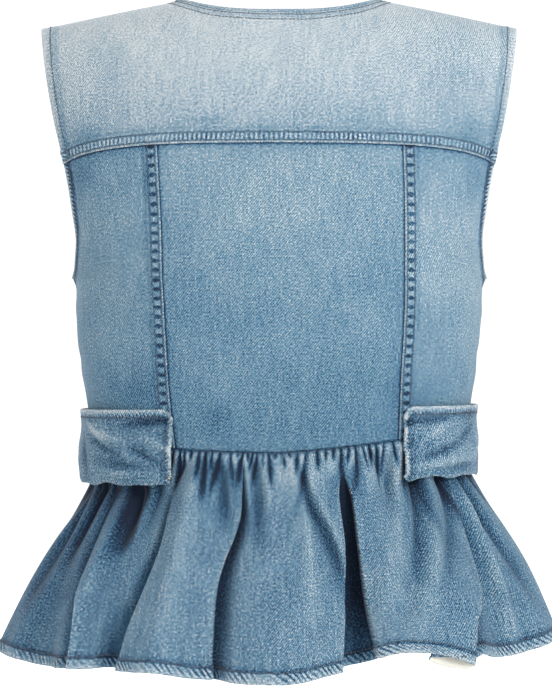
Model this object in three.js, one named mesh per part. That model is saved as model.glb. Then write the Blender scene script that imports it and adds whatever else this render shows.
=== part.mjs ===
// A sleeveless denim vest with a gathered peplum, in the hollow shape it has when it is worn.
// Millimetres, +Z up. The front faces -Y and the wearer's left is +X.
// The origin is midway between the two neck points, at the top of the shoulders that carry the vest.
// The cloth is built as thin walls over one worked-out surface: a bodice from the waist seam up over the
// shoulders, and a peplum that hangs from the waist seam in gathers and wide folds.
import * as THREE from "three";

// Cloth and seams
const CLOTH = 1.4; // one layer of denim with its seam allowances pressed flat
const TAB_CLOTH = 2.2; // the waist tabs are two layers
const PLACKET_CLOTH = 1.6;
const GAP = 0.3; // clearance between two pieces at a seam
const FELL_RAISE = 0.9; // a felled seam stands this far out of the cloth
const FELL_WIDTH = 10.5;
const FELL_STEP = 1.2; // width of the step down from a felled seam to the plain cloth

// Bodice
const ARM_Z = -233; // underarm
const SHOULDER_X = 199; // half width over the shoulders
const UNDERARM_X = 170; // half width at the underarm
// Half width at the armhole edge, by share of the armhole's height
const ARMHOLE_EDGE = [
  { rise: 0, x: UNDERARM_X },
  { rise: 0.28, x: 171.4 },
  { rise: 0.45, x: 177.4 },
  { rise: 0.62, x: 185.8 },
  { rise: 0.8, x: 192.4 },
  { rise: 1, x: SHOULDER_X },
];
const NECK_X = 87; // half width of the neckline at the shoulder
const SHOULDER_DROP = 23; // from neck point to shoulder tip
const RIDGE_BEND = 60; // radius with which the shoulder line's slope turns over behind the neck
const RING_POWER = 2.3; // 2 is an ellipse, more is squarer
const BACK = { armDepth: 118, risePower: 2.3, neckTurn: 28.5 };
const FRONT = { armDepth: 124, risePower: 2.0, neckTurn: 51.5 };
const ARMHOLE_SHARE = 0.43; // where the armhole edge lies, as a share of the depth
const ARMHOLE_ROUND = 0.35; // share of the armhole's height that its round bottom takes
const SHOULDER_SEAM = 96; // the yoke passes over the shoulder ridge, at 90, to here

// Rings of the bodice: height, half width, and depth behind and before the side seam. The row above the
// underarm only sets the slope there.
const RINGS = [
  { z: -395, side: 156.5, back: 98, front: 106 },
  { z: -365, side: 157.5, back: 100, front: 108 },
  { z: -338, side: 160.5, back: 104, front: 114 },
  { z: -290, side: 168, back: 113, front: 122 },
  { z: ARM_Z, side: UNDERARM_X, back: BACK.armDepth, front: FRONT.armDepth },
  { z: -176, side: 171, back: 113, front: 122 },
];

// Seam lines
const WAIST_CENTRE_Z = -375; // the waist seam dips at the centre
const WAIST_SIDE_RISE = 13;
const WAIST_BOW = 1.2;
const WAIST_LEAN = 6; // the seam sits this much lower at the wearer's left side than level
const YOKE_CENTRE_Z = -125;
const YOKE_SIDE_DROP = 14;
const YOKE_BOW = 3;
// Distance of each princess seam from the centre plane, by level on the bodice: 0 is the underarm, -100 the
// waist seam, and the yoke seam is near 25
const PRINCESS = [
  { level: -100, left: 84.5, right: 97 },
  { level: -66, left: 89.5, right: 98.5 },
  { level: -33, left: 92, right: 101 },
  { level: 0, left: 94.5, right: 102 },
  { level: 25, left: 98.8, right: 100.5 },
];

// Peplum
const PEPLUM_LENGTH = 196; // along the cloth, from waist seam to hem
const FLARE_SIDE = 72; // how far the hem stands out from the waist seam at the sides
const FLARE_CENTRE = 79; // and at the centre back and centre front
const FLARE_EASE = 0.33; // the flare is quicker near the waist
const TAB_HOLD = 0.19; // share of the length that the tabs hold close to the body
// The gathers of the waist seam, between two angles. None lies under the placket.
const GATHERS = {
  back: { from: -90, to: 90, count: 68 },
  left: { from: 90, to: 171, count: 31 },
  right: { from: -171, to: -90, count: 31 },
};
// Wide folds, by angle round the waist: 0 is the centre back, 90 the wearer's left side, 180 the centre front.
// Each is a crest or a valley, with its angle at the waist and at the hem, and at the hem how far it stands
// out, how far it leans along the edge and how far the edge is lifted.
const FOLDS = [
  { waist: -172, hem: -172, out: 3, lean: 0, lift: 3 },
  { waist: -158, hem: -156, out: -11, lean: 0, lift: 3 },
  { waist: -142, hem: -140, out: 15, lean: -3, lift: 3 },
  { waist: -127, hem: -125, out: -14, lean: 2, lift: 3 },
  { waist: -111, hem: -108, out: 15, lean: 4, lift: 3 },
  { waist: -95, hem: -92, out: -9, lean: 0, lift: 6 },
  { waist: -78, hem: -75, out: 9, lean: -3, lift: 6 },
  { waist: -61, hem: -55, out: -13, lean: 7, lift: 6 },
  { waist: -36, hem: -39, out: 19, lean: -7, lift: 1 },
  { waist: -21, hem: -16, out: -24, lean: 0, lift: 17 },
  { waist: -3, hem: 0, out: 13, lean: 0, lift: -4 },
  { waist: 13, hem: 15, out: -10, lean: -2, lift: 7 },
  { waist: 23, hem: 27, out: 12, lean: 4, lift: 3 },
  { waist: 37, hem: 38, out: -13, lean: -7, lift: 12 },
  { waist: 50, hem: 48, out: 10, lean: 6, lift: 2 },
  { waist: 60, hem: 59, out: -13, lean: -8, lift: 8 },
  { waist: 78, hem: 79, out: 9, lean: 3, lift: 6 },
  { waist: 94, hem: 95, out: -10, lean: 0, lift: 5 },
  { waist: 110, hem: 111, out: 14, lean: -4, lift: 3 },
  { waist: 126, hem: 125, out: -14, lean: 2, lift: 3 },
  { waist: 141, hem: 140, out: 16, lean: 3, lift: 3 },
  { waist: 157, hem: 156, out: -11, lean: 0, lift: 3 },
  { waist: 172, hem: 172, out: 3, lean: 0, lift: 3 },
];

// Waist tabs, over the waist seam at each side
const TAB_TOP_Z = -339;
const TAB_HEIGHT = 61;
const TAB_LEAN = 2; // each tab sits this much lower on the left, and higher on the right, than level
const TAB_BACK = { left: 29.5, right: 36 }; // degrees, where a tab starts beside the princess seam
const TAB_FRONT = 148; // degrees, where it ends on the front
const TAB_LIFT_END = 1.2; // clearance from the bodice at the tab's ends
const TAB_LIFT_MIDDLE = 4;
const TAB_LIFT_BOTTOM = 8.2; // it clears the gathers below the seam

// Front placket, neck binding and buttons
const PLACKET_HALF = 14;
const OPENING_X = -12; // where the right front's own edge lies, under the placket
const BINDING = { width: 4.2, thickness: 3, raise: 0.8 };
const BUTTON = { radius: 8.5, height: 4.2, count: 7, topZ: -102, pitch: 61 };

const DENIM = { roughness: 0.9, metalness: 0 };
const fadedDenim = new THREE.MeshStandardMaterial({ ...DENIM, color: 0xb0bfc9 });
const midDenim = new THREE.MeshStandardMaterial({ ...DENIM, color: 0x7f9cae });
const deepDenim = new THREE.MeshStandardMaterial({ ...DENIM, color: 0x68879d });
const buttonMetal = new THREE.MeshStandardMaterial({ color: 0xb9b4aa, roughness: 0.35, metalness: 1 });

const rad = THREE.MathUtils.degToRad;
const deg = THREE.MathUtils.radToDeg;
const clamp = THREE.MathUtils.clamp;
const lerp = THREE.MathUtils.lerp;
const smoothstep = THREE.MathUtils.smoothstep;

// A smooth curve through a table's rows, read at x.
function curve(table, xKey, yKey, x) {
  const last = table.length - 1;
  let k = 0;
  while (k < last - 1 && x > table[k + 1][xKey]) k++;
  const slope = (i) => {
    const lo = Math.max(0, i - 1);
    const hi = Math.min(last, i + 1);
    return (table[hi][yKey] - table[lo][yKey]) / (table[hi][xKey] - table[lo][xKey]);
  };
  const width = table[k + 1][xKey] - table[k][xKey];
  const f = clamp((x - table[k][xKey]) / width, 0, 1);
  const a = table[k][yKey];
  const b = table[k + 1][yKey];
  const m0 = slope(k) * width;
  const m1 = slope(k + 1) * width;
  return a + f * (m0 + f * (3 * (b - a) - 2 * m0 - m1 + f * (2 * (a - b) + m0 + m1)));
}

// Height of the shoulder ridge above a place on it.
function ridgeZ(x) {
  const along = (place) => Math.hypot(place, RIDGE_BEND);
  return (SHOULDER_DROP * (along(NECK_X) - along(x))) / (along(SHOULDER_X) - along(NECK_X));
}

// How far round the ring, in degrees, the armhole edge is at a share of the armhole's height.
function armholeTurn(rise) {
  const round = Math.sqrt(1 - (1 - Math.min(rise / ARMHOLE_ROUND, 1)) ** 2);
  return deg(Math.acos((ARMHOLE_SHARE * round) ** (RING_POWER / 2)));
}

const armholeX = (rise) => curve(ARMHOLE_EDGE, "rise", "x", rise);
const ringShare = (value) => Math.sign(value) * Math.abs(value) ** (2 / RING_POWER);

// How far across a ring a distance from the centre plane is, on a ring that turns so far round to its edge.
function shareAcross(x, widest, turn) {
  const share = (Math.abs(x) / widest) ** (RING_POWER / 2);
  return (Math.sign(x) * Math.asin(Math.sin(rad(turn)) * share)) / rad(turn);
}

function upperX(across, rise) {
  const edge = rad(armholeTurn(rise));
  return armholeX(rise) * ringShare(Math.sin(across * edge) / Math.sin(edge));
}

function waistZ(across) {
  const turn = Math.sin(rad(90 * across));
  return WAIST_CENTRE_Z + WAIST_SIDE_RISE * Math.abs(turn) ** WAIST_BOW - WAIST_LEAN * turn;
}

const yokeZ = (across) => YOKE_CENTRE_Z - YOKE_SIDE_DROP * Math.abs(across) ** YOKE_BOW;

// A point of a horizontal ring of the bodice, at an angle round it and a height below the underarm.
function ringPoint(angle, z) {
  const a = rad(angle);
  const depth = Math.cos(a) >= 0 ? "back" : "front";
  return new THREE.Vector3(
    curve(RINGS, "z", "side", z) * ringShare(Math.sin(a)),
    curve(RINGS, "z", depth, z) * ringShare(Math.cos(a)),
    z,
  );
}

// A point of the bodice. across is 0 at the centre and 1 or -1 at the side seam and armhole edge, and half is
// BACK or FRONT. level is -100 at the waist seam, 0 at the underarm and 90 on the shoulder ridge; past 90 it
// is on the other half, coming down again.
function bodicePoint(half, across, level) {
  if (level > 90) return bodicePoint(half === BACK ? FRONT : BACK, across, 180 - level);
  const angle = half === BACK ? 90 * across : 180 - 90 * across;
  if (level <= 0) return ringPoint(angle, lerp(ARM_Z, waistZ(across), -level / 100));
  const rise = Math.sin(rad(level)) ** (2 / half.risePower);
  const depth = half.armDepth * Math.max(Math.cos(rad(level)), 0) ** (2 / half.risePower);
  const turn = rad(across * armholeTurn(rise));
  const top = ridgeZ(upperX(across, 1));
  return new THREE.Vector3(
    upperX(across, rise),
    (half === BACK ? 1 : -1) * depth * ringShare(Math.cos(turn)),
    ARM_Z + (top - ARM_Z) * rise,
  );
}

// The level at which a column of the bodice reaches a height above the underarm.
function levelOf(half, across, z) {
  const top = ridgeZ(upperX(across, 1));
  const rise = clamp((z - ARM_Z) / (top - ARM_Z), 0, 1);
  return deg(Math.asin(rise ** (half.risePower / 2)));
}

// How far across the neck point is on the shoulder ridge.
const NECK_ACROSS = shareAcross(NECK_X, SHOULDER_X, armholeTurn(1));

function neckLevel(half, across) {
  const share = Math.min(Math.abs(across) / NECK_ACROSS, 1);
  return 90 - half.neckTurn * Math.sqrt(1 - share * share);
}

// How far across a princess seam is at a level. side is "left" or "right".
function princess(side, level) {
  const x = curve(PRINCESS, "level", side, level);
  if (level <= 0) return shareAcross(x, bodicePoint(BACK, 1, level).x, 90);
  const rise = riseOf(BACK, level);
  return shareAcross(x, armholeX(rise), armholeTurn(rise));
}

// A repeatable number from 0 to 1 for a whole number.
function chance(n) {
  const s = Math.sin(n * 127.1 + 311.7) * 43758.5453;
  return s - Math.floor(s);
}

// The wide folds at an angle and a share of the peplum's length.
function foldAt(angle, t) {
  const place = (f) => lerp(f.waist, f.hem, t);
  const n = FOLDS.length;
  let k = 0;
  while (k < n && place(FOLDS[k]) <= angle) k++;
  const before = FOLDS[(k - 1 + n) % n];
  const after = FOLDS[k % n];
  const start = place(before) - (k === 0 ? 360 : 0);
  const end = place(after) + (k === n ? 360 : 0);
  const f = smoothstep(clamp((angle - start) / (end - start), 0, 1), 0, 1);
  return {
    out: lerp(before.out, after.out, f),
    lean: lerp(before.lean, after.lean, f),
    lift: lerp(before.lift, after.lift, f),
  };
}

// Where gather number k of a stretch starts, in degrees. They are uneven.
function gatherStart({ from, to, count }, k) {
  const shift = k % count === 0 ? 0 : 0.55 * (chance(k + from) - 0.5);
  return lerp(from, to, (k + shift) / count);
}

// The height of a gather's crest at a share of the peplum's length. number is any whole number of its own.
function gatherHeight(number, t) {
  const full = 2.1 + 1.3 * chance(number + 500);
  const reach = 0.3 + 0.3 * chance(number + 900);
  const rise = smoothstep(t, -0.02, 0.07);
  return full * (0.25 + 0.75 * rise) * (1 - smoothstep(t, 0.1, reach));
}

// A point of the peplum, at an angle round the waist and a share of its length, with a gather standing out.
function peplumPoint(angle, t, gather) {
  const centre = Math.abs(Math.cos(rad(angle)));
  const across = (Math.abs(angle) <= 90 ? angle : Math.sign(angle) * (180 - Math.abs(angle))) / 90;
  const waist = ringPoint(angle, waistZ(across) - GAP);
  const step = 0.5;
  const along = ringPoint(angle + step, waist.z).sub(ringPoint(angle - step, waist.z));
  along.z = 0;
  along.normalize();
  const outward = new THREE.Vector3(-along.y, along.x, 0);
  const held = TAB_HOLD * smoothstep(Math.abs(angle), 21, 31) * smoothstep(180 - Math.abs(angle), 21, 31);
  const free = Math.max(t - held, 0) / (1 - held);
  const flare = lerp(FLARE_SIDE, FLARE_CENTRE, centre ** 1.5) * free * (1 + FLARE_EASE * (1 - free));
  const fold = foldAt(angle, t);
  const swing = Math.max(free, 0) ** 1.15;
  const out = flare + fold.out * swing;
  const run = PEPLUM_LENGTH * t;
  const drop = Math.sqrt(Math.max(run * run - out * out, 0.25 * run * run));
  return waist
    .addScaledVector(outward, out + gather)
    .addScaledVector(along, -fold.lean * swing)
    .setZ(waist.z - drop + fold.lift * swing);
}

// The outward normal of a surface given by a function of two values, the first running towards the wearer's
// left round the back and the second running up.
function normalAt(surface, u, v, du, dv) {
  const up = surface(u, v + dv).sub(surface(u, v - dv));
  const round = surface(u + du, v).sub(surface(u - du, v));
  return up.cross(round).normalize();
}

// A closed wall between rows of outer and inner points, the rows running up. A row may have half as many
// spans as the row above it.
function wallGeometry(rows) {
  const points = [];
  const starts = rows.map((row) => {
    const start = points.length;
    row.forEach((p) => points.push(p.outer, p.inner));
    return start;
  });
  const outer = (j, i) => starts[j] + 2 * i;
  const inner = (j, i) => outer(j, i) + 1;
  const faces = [];
  const skin = (a, b, c) => {
    faces.push(a, b, c);
    faces.push(a + 1, c + 1, b + 1);
  };
  const quad = (a, b, c, d) => faces.push(a, b, c, a, c, d);
  for (let j = 0; j < rows.length - 1; j++) {
    const low = rows[j].length - 1;
    const high = rows[j + 1].length - 1;
    for (let i = 0; i < low; i++) {
      if (high === low) {
        skin(outer(j, i), outer(j + 1, i), outer(j, i + 1));
        skin(outer(j, i + 1), outer(j + 1, i), outer(j + 1, i + 1));
      } else {
        skin(outer(j, i), outer(j + 1, 2 * i), outer(j + 1, 2 * i + 1));
        skin(outer(j, i), outer(j + 1, 2 * i + 1), outer(j, i + 1));
        skin(outer(j, i + 1), outer(j + 1, 2 * i + 1), outer(j + 1, 2 * i + 2));
      }
    }
    quad(outer(j + 1, 0), outer(j, 0), inner(j, 0), inner(j + 1, 0));
    quad(outer(j, low), outer(j + 1, high), inner(j + 1, high), inner(j, low));
  }
  const top = rows.length - 1;
  for (let i = 0; i < rows[0].length - 1; i++)
    quad(outer(0, i), outer(0, i + 1), inner(0, i + 1), inner(0, i));
  for (let i = 0; i < rows[top].length - 1; i++)
    quad(outer(top, i + 1), outer(top, i), inner(top, i), inner(top, i + 1));
  const geometry = new THREE.BufferGeometry();
  geometry.setAttribute("position", new THREE.Float32BufferAttribute(points.flatMap((p) => [p.x, p.y, p.z]), 3));
  geometry.setIndex(faces);
  geometry.computeVertexNormals();
  return geometry;
}

// The two faces of the cloth at a point of a surface.
function clothAt(surface, u, v, du, dv, lift, thickness) {
  const normal = normalAt(surface, u, v, du, dv);
  const point = surface(u, v);
  return {
    outer: point.clone().addScaledVector(normal, lift),
    inner: point.clone().addScaledVector(normal, lift - thickness),
  };
}

// The bodice as a surface whose first value runs the same way round on both halves.
const backSurface = (across, level) => bodicePoint(BACK, across, level);
const frontSurface = (across, level) => bodicePoint(FRONT, -across, level);

const evenly = (count, from, to) => Array.from({ length: count + 1 }, (_, i) => lerp(from, to, i / count));

const vest = new THREE.Group();

function addPiece(name, geometry, material) {
  const mesh = new THREE.Mesh(geometry, material);
  mesh.name = name;
  vest.add(mesh);
  return mesh;
}

const SEAM_SHARE = GAP / 2 / 250; // half a seam's gap, as a share across the bodice
const BAND_SHARE = FELL_WIDTH / 250;
const STEP_SHARE = FELL_STEP / 250;
const SEAM_TURN = 0.06; // half a seam's gap, in degrees round the waist

// Columns of the yoke: close together where the neckline turns up to the shoulder.
function yokeColumns() {
  const neck = NECK_ACROSS;
  const half = [0.3, 0.55, 0.75, 0.9, 0.97, 0.995, 1].map((share) => share * neck);
  half.push(...evenly(6, neck, 1).slice(1));
  return [...half.map((x) => -x).reverse(), 0, ...half];
}

function backYoke() {
  const seam = (q) => levelOf(BACK, q, yokeZ(q) + GAP / 2);
  const bandTop = (q) => levelOf(BACK, q, yokeZ(q) + FELL_WIDTH);
  const plain = (q) => levelOf(BACK, q, yokeZ(q) + FELL_WIDTH + FELL_STEP);
  const isNeck = (q) => Math.abs(q) < NECK_ACROSS - 1e-6;
  const top = (q) => (isNeck(q) ? neckLevel(BACK, q) : SHOULDER_SEAM);
  const shared = (q) => lerp(plain(q), SHOULDER_SEAM, 0.4);
  const levels = [
    { at: seam, lift: FELL_RAISE },
    { at: bandTop, lift: FELL_RAISE },
    { at: plain, lift: 0 },
    { at: (q) => (plain(q) + shared(q)) / 2, lift: 0 },
    ...evenly(4, 0, 1).map((f) => ({ at: (q) => lerp(shared(q), top(q), f), lift: 0 })),
  ];
  const rows = levels.map(({ at, lift }) =>
    yokeColumns().map((q) => clothAt(backSurface, q, at(q), 1e-3, 0.2, lift, CLOTH + lift)),
  );
  addPiece("back_yoke", wallGeometry(rows), fadedDenim);
}

// Levels of a column of the bodice from the waist seam to its top. They are close together round the bottom
// of the armhole. All columns of a piece share those up to one level, and the rest is divided evenly.
function bodiceLevels(top, sharedTo, spans) {
  const shared = [-100, -84, -66, -48, -30, -14, 0, 0.6, 2, 4.5, 9, 15, 22, 28].filter((v) => v < sharedTo);
  return [...shared, ...evenly(spans, sharedTo, top)];
}

const YOKE_LEVEL = 25; // near the yoke seam
const backLevels = (q) => bodiceLevels(levelOf(BACK, q, yokeZ(q) - GAP / 2), 9, 2);

function backCentre() {
  const columns = evenly(12, -1, 1).map((share) => ({ share: Math.abs(share), side: Math.sign(share) }));
  const across = ({ share, side }, level) =>
    side * share * (princess(side > 0 ? "left" : "right", level) - SEAM_SHARE);
  const rows = backLevels(0).map((_, j) =>
    columns.map((column) => {
      const level = backLevels(across(column, YOKE_LEVEL))[j];
      return clothAt(backSurface, across(column, level), level, 1e-3, 0.2, 0, CLOTH);
    }),
  );
  addPiece("back_centre", wallGeometry(rows), midDenim);
}

// A side back, from the princess seam to the side seam and armhole. side is 1 for the wearer's left.
function sideBack(name, side) {
  const edge = (level) => princess(side > 0 ? "left" : "right", level) + SEAM_SHARE;
  const span = [
    { at: (level) => edge(level), lift: FELL_RAISE },
    { at: (level) => edge(level) + BAND_SHARE, lift: FELL_RAISE },
    ...[0, 0.2, 0.4, 0.58, 0.74, 0.88, 1].map((f) => ({
      at: (level) => lerp(edge(level) + BAND_SHARE + STEP_SHARE, 1 - SEAM_SHARE, f),
      lift: 0,
    })),
  ];
  const columns = side > 0 ? span : [...span].reverse();
  const rows = backLevels(0).map((_, j) =>
    columns.map(({ at, lift }) => {
      const level = backLevels(at(YOKE_LEVEL))[j];
      return clothAt(backSurface, side * at(level), level, 1e-3, 0.2, lift, CLOTH + lift);
    }),
  );
  addPiece(name, wallGeometry(rows), midDenim);
}

// A distance from the centre plane of the front, as a share across at a level.
function frontAcross(x, level) {
  if (level <= 0) return shareAcross(x, bodicePoint(FRONT, 1, level).x, 90);
  const rise = riseOf(FRONT, level);
  return shareAcross(x, armholeX(rise), armholeTurn(rise));
}

// Where the two fronts end under the placket, as a share across at a level.
const openingShare = (level) => frontAcross(-OPENING_X, level);

function riseOf(half, level) {
  return Math.sin(rad(level)) ** (2 / half.risePower);
}

const NECK_SHARED_LEVEL = 28; // just below the front neckline
const FRONT_TOP = 180 - SHOULDER_SEAM - 0.15; // the shoulder seam's level on the front, less its gap

// The share across of a front's columns, from its opening edge to the armhole.
function frontColumns(start) {
  const neck = NECK_ACROSS;
  const inner = [0, 0.22, 0.44, 0.62, 0.78, 0.9, 0.97, 1].map((f) => lerp(start, neck, f));
  return [...inner, ...evenly(5, neck, 1 - SEAM_SHARE).slice(1)];
}

// A front. side is 1 for the wearer's left, whose edge runs on under the placket.
function front(name, side) {
  const edge = (level) => -side * openingShare(level) + SEAM_SHARE;
  const top = (q) => (Math.abs(q) < NECK_ACROSS - 1e-6 ? neckLevel(FRONT, q) : FRONT_TOP);
  const levels = (q) => bodiceLevels(top(q), NECK_SHARED_LEVEL, 5);
  const count = frontColumns(0).length;
  const order = Array.from({ length: count }, (_, i) => (side > 0 ? count - 1 - i : i));
  const rows = levels(0).map((_, j) =>
    order.map((i) => {
      const level = levels(frontColumns(edge(NECK_SHARED_LEVEL))[i])[j];
      const q = frontColumns(edge(level))[i];
      return clothAt(frontSurface, -side * q, level, 1e-3, 0.2, 0, CLOTH);
    }),
  );
  addPiece(name, wallGeometry(rows), midDenim);
}

// A part of the peplum, with a column at each angle where height tells how far the cloth stands out. Below
// the gathers it has every second column.
function peplum(name, columns) {
  const fine = [0, 0.03, 0.09, 0.2];
  const coarse = [0.36, 0.52, 0.68, 0.84, 1];
  const row = (t, stride) =>
    columns
      .filter((_, i) => i % stride === 0)
      .map(({ angle, height }) => {
        const surface = (a, down) => peplumPoint(a, -down, height(t));
        return clothAt(surface, angle, -t, 0.4, 0.01, 0, CLOTH);
      });
  const rows = [...fine.map((t) => row(t, 1)), ...coarse.map((t) => row(t, 2))].reverse();
  addPiece(name, wallGeometry(rows), deepDenim);
}

// Columns of a stretch of gathers: a valley and a crest for each, and a last valley.
function gatherColumns(stretch) {
  const columns = [];
  for (let k = 0; k < stretch.count; k++)
    for (const crest of [0, 1]) {
      const angle = lerp(gatherStart(stretch, k), gatherStart(stretch, k + 1), crest / 2);
      columns.push({ angle, height: (t) => crest * gatherHeight(k + stretch.from, t) });
    }
  columns.push({ angle: stretch.to, height: () => 0 });
  columns[0].angle += SEAM_TURN;
  columns[columns.length - 1].angle -= SEAM_TURN;
  return columns;
}

// The flat stretch of a front peplum, from its edge under the placket to its first gather.
function flatColumns(edge, gathers) {
  return [edge, lerp(edge, gathers, 0.5)].map((angle) => ({ angle, height: () => 0 }));
}

function peplums() {
  const edge = 180 + 90 * openingShare(-100);
  const right = gatherColumns(GATHERS.right);
  const left = gatherColumns(GATHERS.left);
  peplum("peplum_back", gatherColumns(GATHERS.back));
  peplum("peplum_front_right", [...flatColumns(edge - 360 + SEAM_TURN, GATHERS.right.from), ...right]);
  peplum("peplum_front_left", [...left, ...flatColumns(edge - SEAM_TURN, GATHERS.left.to).reverse()]);
}

// A waist tab round one side. side is 1 for the wearer's left.
function waistTab(name, side) {
  const start = side > 0 ? TAB_BACK.left : TAB_BACK.right;
  const angles = evenly(22, start, TAB_FRONT).map((a) => side * a);
  if (side < 0) angles.reverse();
  const rows = evenly(5, 1, 0).map((f) =>
    angles.map((angle) => {
      const z = TAB_TOP_Z - TAB_LEAN * Math.sin(rad(angle)) - TAB_HEIGHT * f;
      const middle = Math.sin((Math.PI * (Math.abs(angle) - start)) / (TAB_FRONT - start));
      const top = lerp(TAB_LIFT_END, TAB_LIFT_MIDDLE, middle);
      const lift = lerp(top, TAB_LIFT_BOTTOM, smoothstep(f, 0.15, 0.75));
      return clothAt(ringPoint, angle, z, 0.3, 0.3, lift + TAB_CLOTH, TAB_CLOTH);
    }),
  );
  addPiece(name, wallGeometry(rows), midDenim);
}

// The centre front of the vest, by distance across and by row: up the peplum, then up the bodice.
function placketRows() {
  const neck = neckLevel(FRONT, 0);
  const belowNeck = levelOf(FRONT, 0, bodicePoint(FRONT, 0, neck).z - BINDING.width - 2 * GAP);
  const peplumShares = [1, 0.84, 0.68, 0.52, 0.36, 0.2, 0.09, 0.03];
  const levels = bodiceLevels(belowNeck, NECK_SHARED_LEVEL, 2);
  const across = evenly(3, -PLACKET_HALF, PLACKET_HALF);
  const peplumSurface = (x, down) => peplumPoint(180 - 90 * frontAcross(x, -100), -down, 0);
  const bodiceSurface = (x, level) => bodicePoint(FRONT, frontAcross(x, level), level);
  return { across, peplumShares, levels, peplumSurface, bodiceSurface };
}

function placket() {
  const { across, peplumShares, levels, peplumSurface, bodiceSurface } = placketRows();
  const lift = GAP + PLACKET_CLOTH;
  const flip = (surface) => (x, v) => surface(-x, v);
  const row = (surface, v, dv) =>
    across.map((x) => clothAt(flip(surface), x, v, 0.5, dv, lift, PLACKET_CLOTH));
  const rows = [
    ...peplumShares.map((t) => row(peplumSurface, -t, 0.01)),
    ...levels.map((level) => row(bodiceSurface, level, 0.2)),
  ];
  addPiece("front_placket", wallGeometry(rows), midDenim);
}

// The neck binding: a folded strip that stands beyond the neck edge all the way round.
function neckBinding() {
  const rightColumns = frontColumns(openingShare(NECK_SHARED_LEVEL) + SEAM_SHARE).filter((q) => q < NECK_ACROSS - 1e-6);
  const leftColumns = frontColumns(SEAM_SHARE - openingShare(NECK_SHARED_LEVEL)).filter((q) => q < NECK_ACROSS - 1e-6);
  const yokeNeck = yokeColumns().filter((q) => Math.abs(q) < NECK_ACROSS - 1e-6);
  const path = [
    ...rightColumns.map((q) => [frontSurface, q, neckLevel(FRONT, q)]),
    [backSurface, -NECK_ACROSS, SHOULDER_SEAM],
    ...yokeNeck.map((q) => [backSurface, q, neckLevel(BACK, q)]),
    [backSurface, NECK_ACROSS, SHOULDER_SEAM],
    ...leftColumns.reverse().map((q) => [frontSurface, -q, neckLevel(FRONT, q)]),
  ];
  const edge = path.map(([surface, u, v]) => surface(u, v));
  const normals = path.map(([surface, u, v]) => normalAt(surface, u, v, 1e-3, 0.2));
  const row = (distance) =>
    edge.map((point, i) => {
      const along = edge[Math.min(i + 1, edge.length - 1)].clone().sub(edge[Math.max(i - 1, 0)]);
      const away = along.cross(normals[i]).normalize();
      const base = point.clone().addScaledVector(away, distance);
      return {
        outer: base.clone().addScaledVector(normals[i], BINDING.raise),
        inner: base.clone().addScaledVector(normals[i], BINDING.raise - BINDING.thickness),
      };
    });
  addPiece("neck_binding", wallGeometry([row(GAP), row(GAP + BINDING.width)]), fadedDenim);
}

// A domed metal button with a raised rim, on its short shank.
function buttonGeometry() {
  const { radius, height } = BUTTON;
  const profile = [
    [0, 0],
    [radius * 0.55, 0],
    [radius * 0.6, height * 0.35],
    [radius, height * 0.5],
    [radius, height * 0.85],
    [radius * 0.82, height],
    [radius * 0.62, height * 0.86],
    [0, height],
  ];
  const points = profile.map(([x, y]) => new THREE.Vector2(x, y)).reverse();
  const geometry = new THREE.LatheGeometry(points.reverse(), 16);
  return geometry.rotateX(Math.PI / 2);
}

function buttons() {
  const { bodiceSurface, peplumSurface, levels, peplumShares } = placketRows();
  const flip = (surface) => (x, v) => surface(-x, v);
  const line = [];
  for (let level = levels[levels.length - 1]; level >= -100; level -= 0.25)
    line.push({ surface: flip(bodiceSurface), v: level, dv: 0.2 });
  for (let t = peplumShares[peplumShares.length - 1]; t <= 1; t += 0.002)
    line.push({ surface: flip(peplumSurface), v: -t, dv: 0.01 });
  for (let k = 0; k < BUTTON.count; k++) {
    const z = BUTTON.topZ - k * BUTTON.pitch;
    const { surface, v, dv } = line.find((p) => p.surface(0, p.v).z <= z);
    const normal = normalAt(surface, 0, v, 0.5, dv);
    const button = addPiece(`button_${k + 1}`, buttonGeometry(), buttonMetal);
    button.quaternion.setFromUnitVectors(new THREE.Vector3(0, 0, 1), normal);
    button.position.copy(surface(0, v)).addScaledVector(normal, GAP + PLACKET_CLOTH + GAP);
  }
}

backYoke();
backCentre();
sideBack("back_side_left", 1);
sideBack("back_side_right", -1);
front("front_left", 1);
front("front_right", -1);
neckBinding();
peplums();
waistTab("waist_tab_left", 1);
waistTab("waist_tab_right", -1);
placket();
buttons();

export default vest;
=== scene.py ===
"""A sleeveless denim vest with a gathered peplum, in the hollow shape it has when it is worn.

The cloth pieces are thin closed shells on the solids' own surfaces, with their creases, gathers, felled seams
and washed colours added, with painted shade in their folds and grooves and painted highlights on their ridges.
Tables and surface functions are in millimetres; meshes are in metres.
"""
import math

import bpy
import numpy as np
from bpy.props import FloatProperty, FloatVectorProperty, PointerProperty
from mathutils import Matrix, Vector
from mathutils.bvhtree import BVHTree


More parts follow.
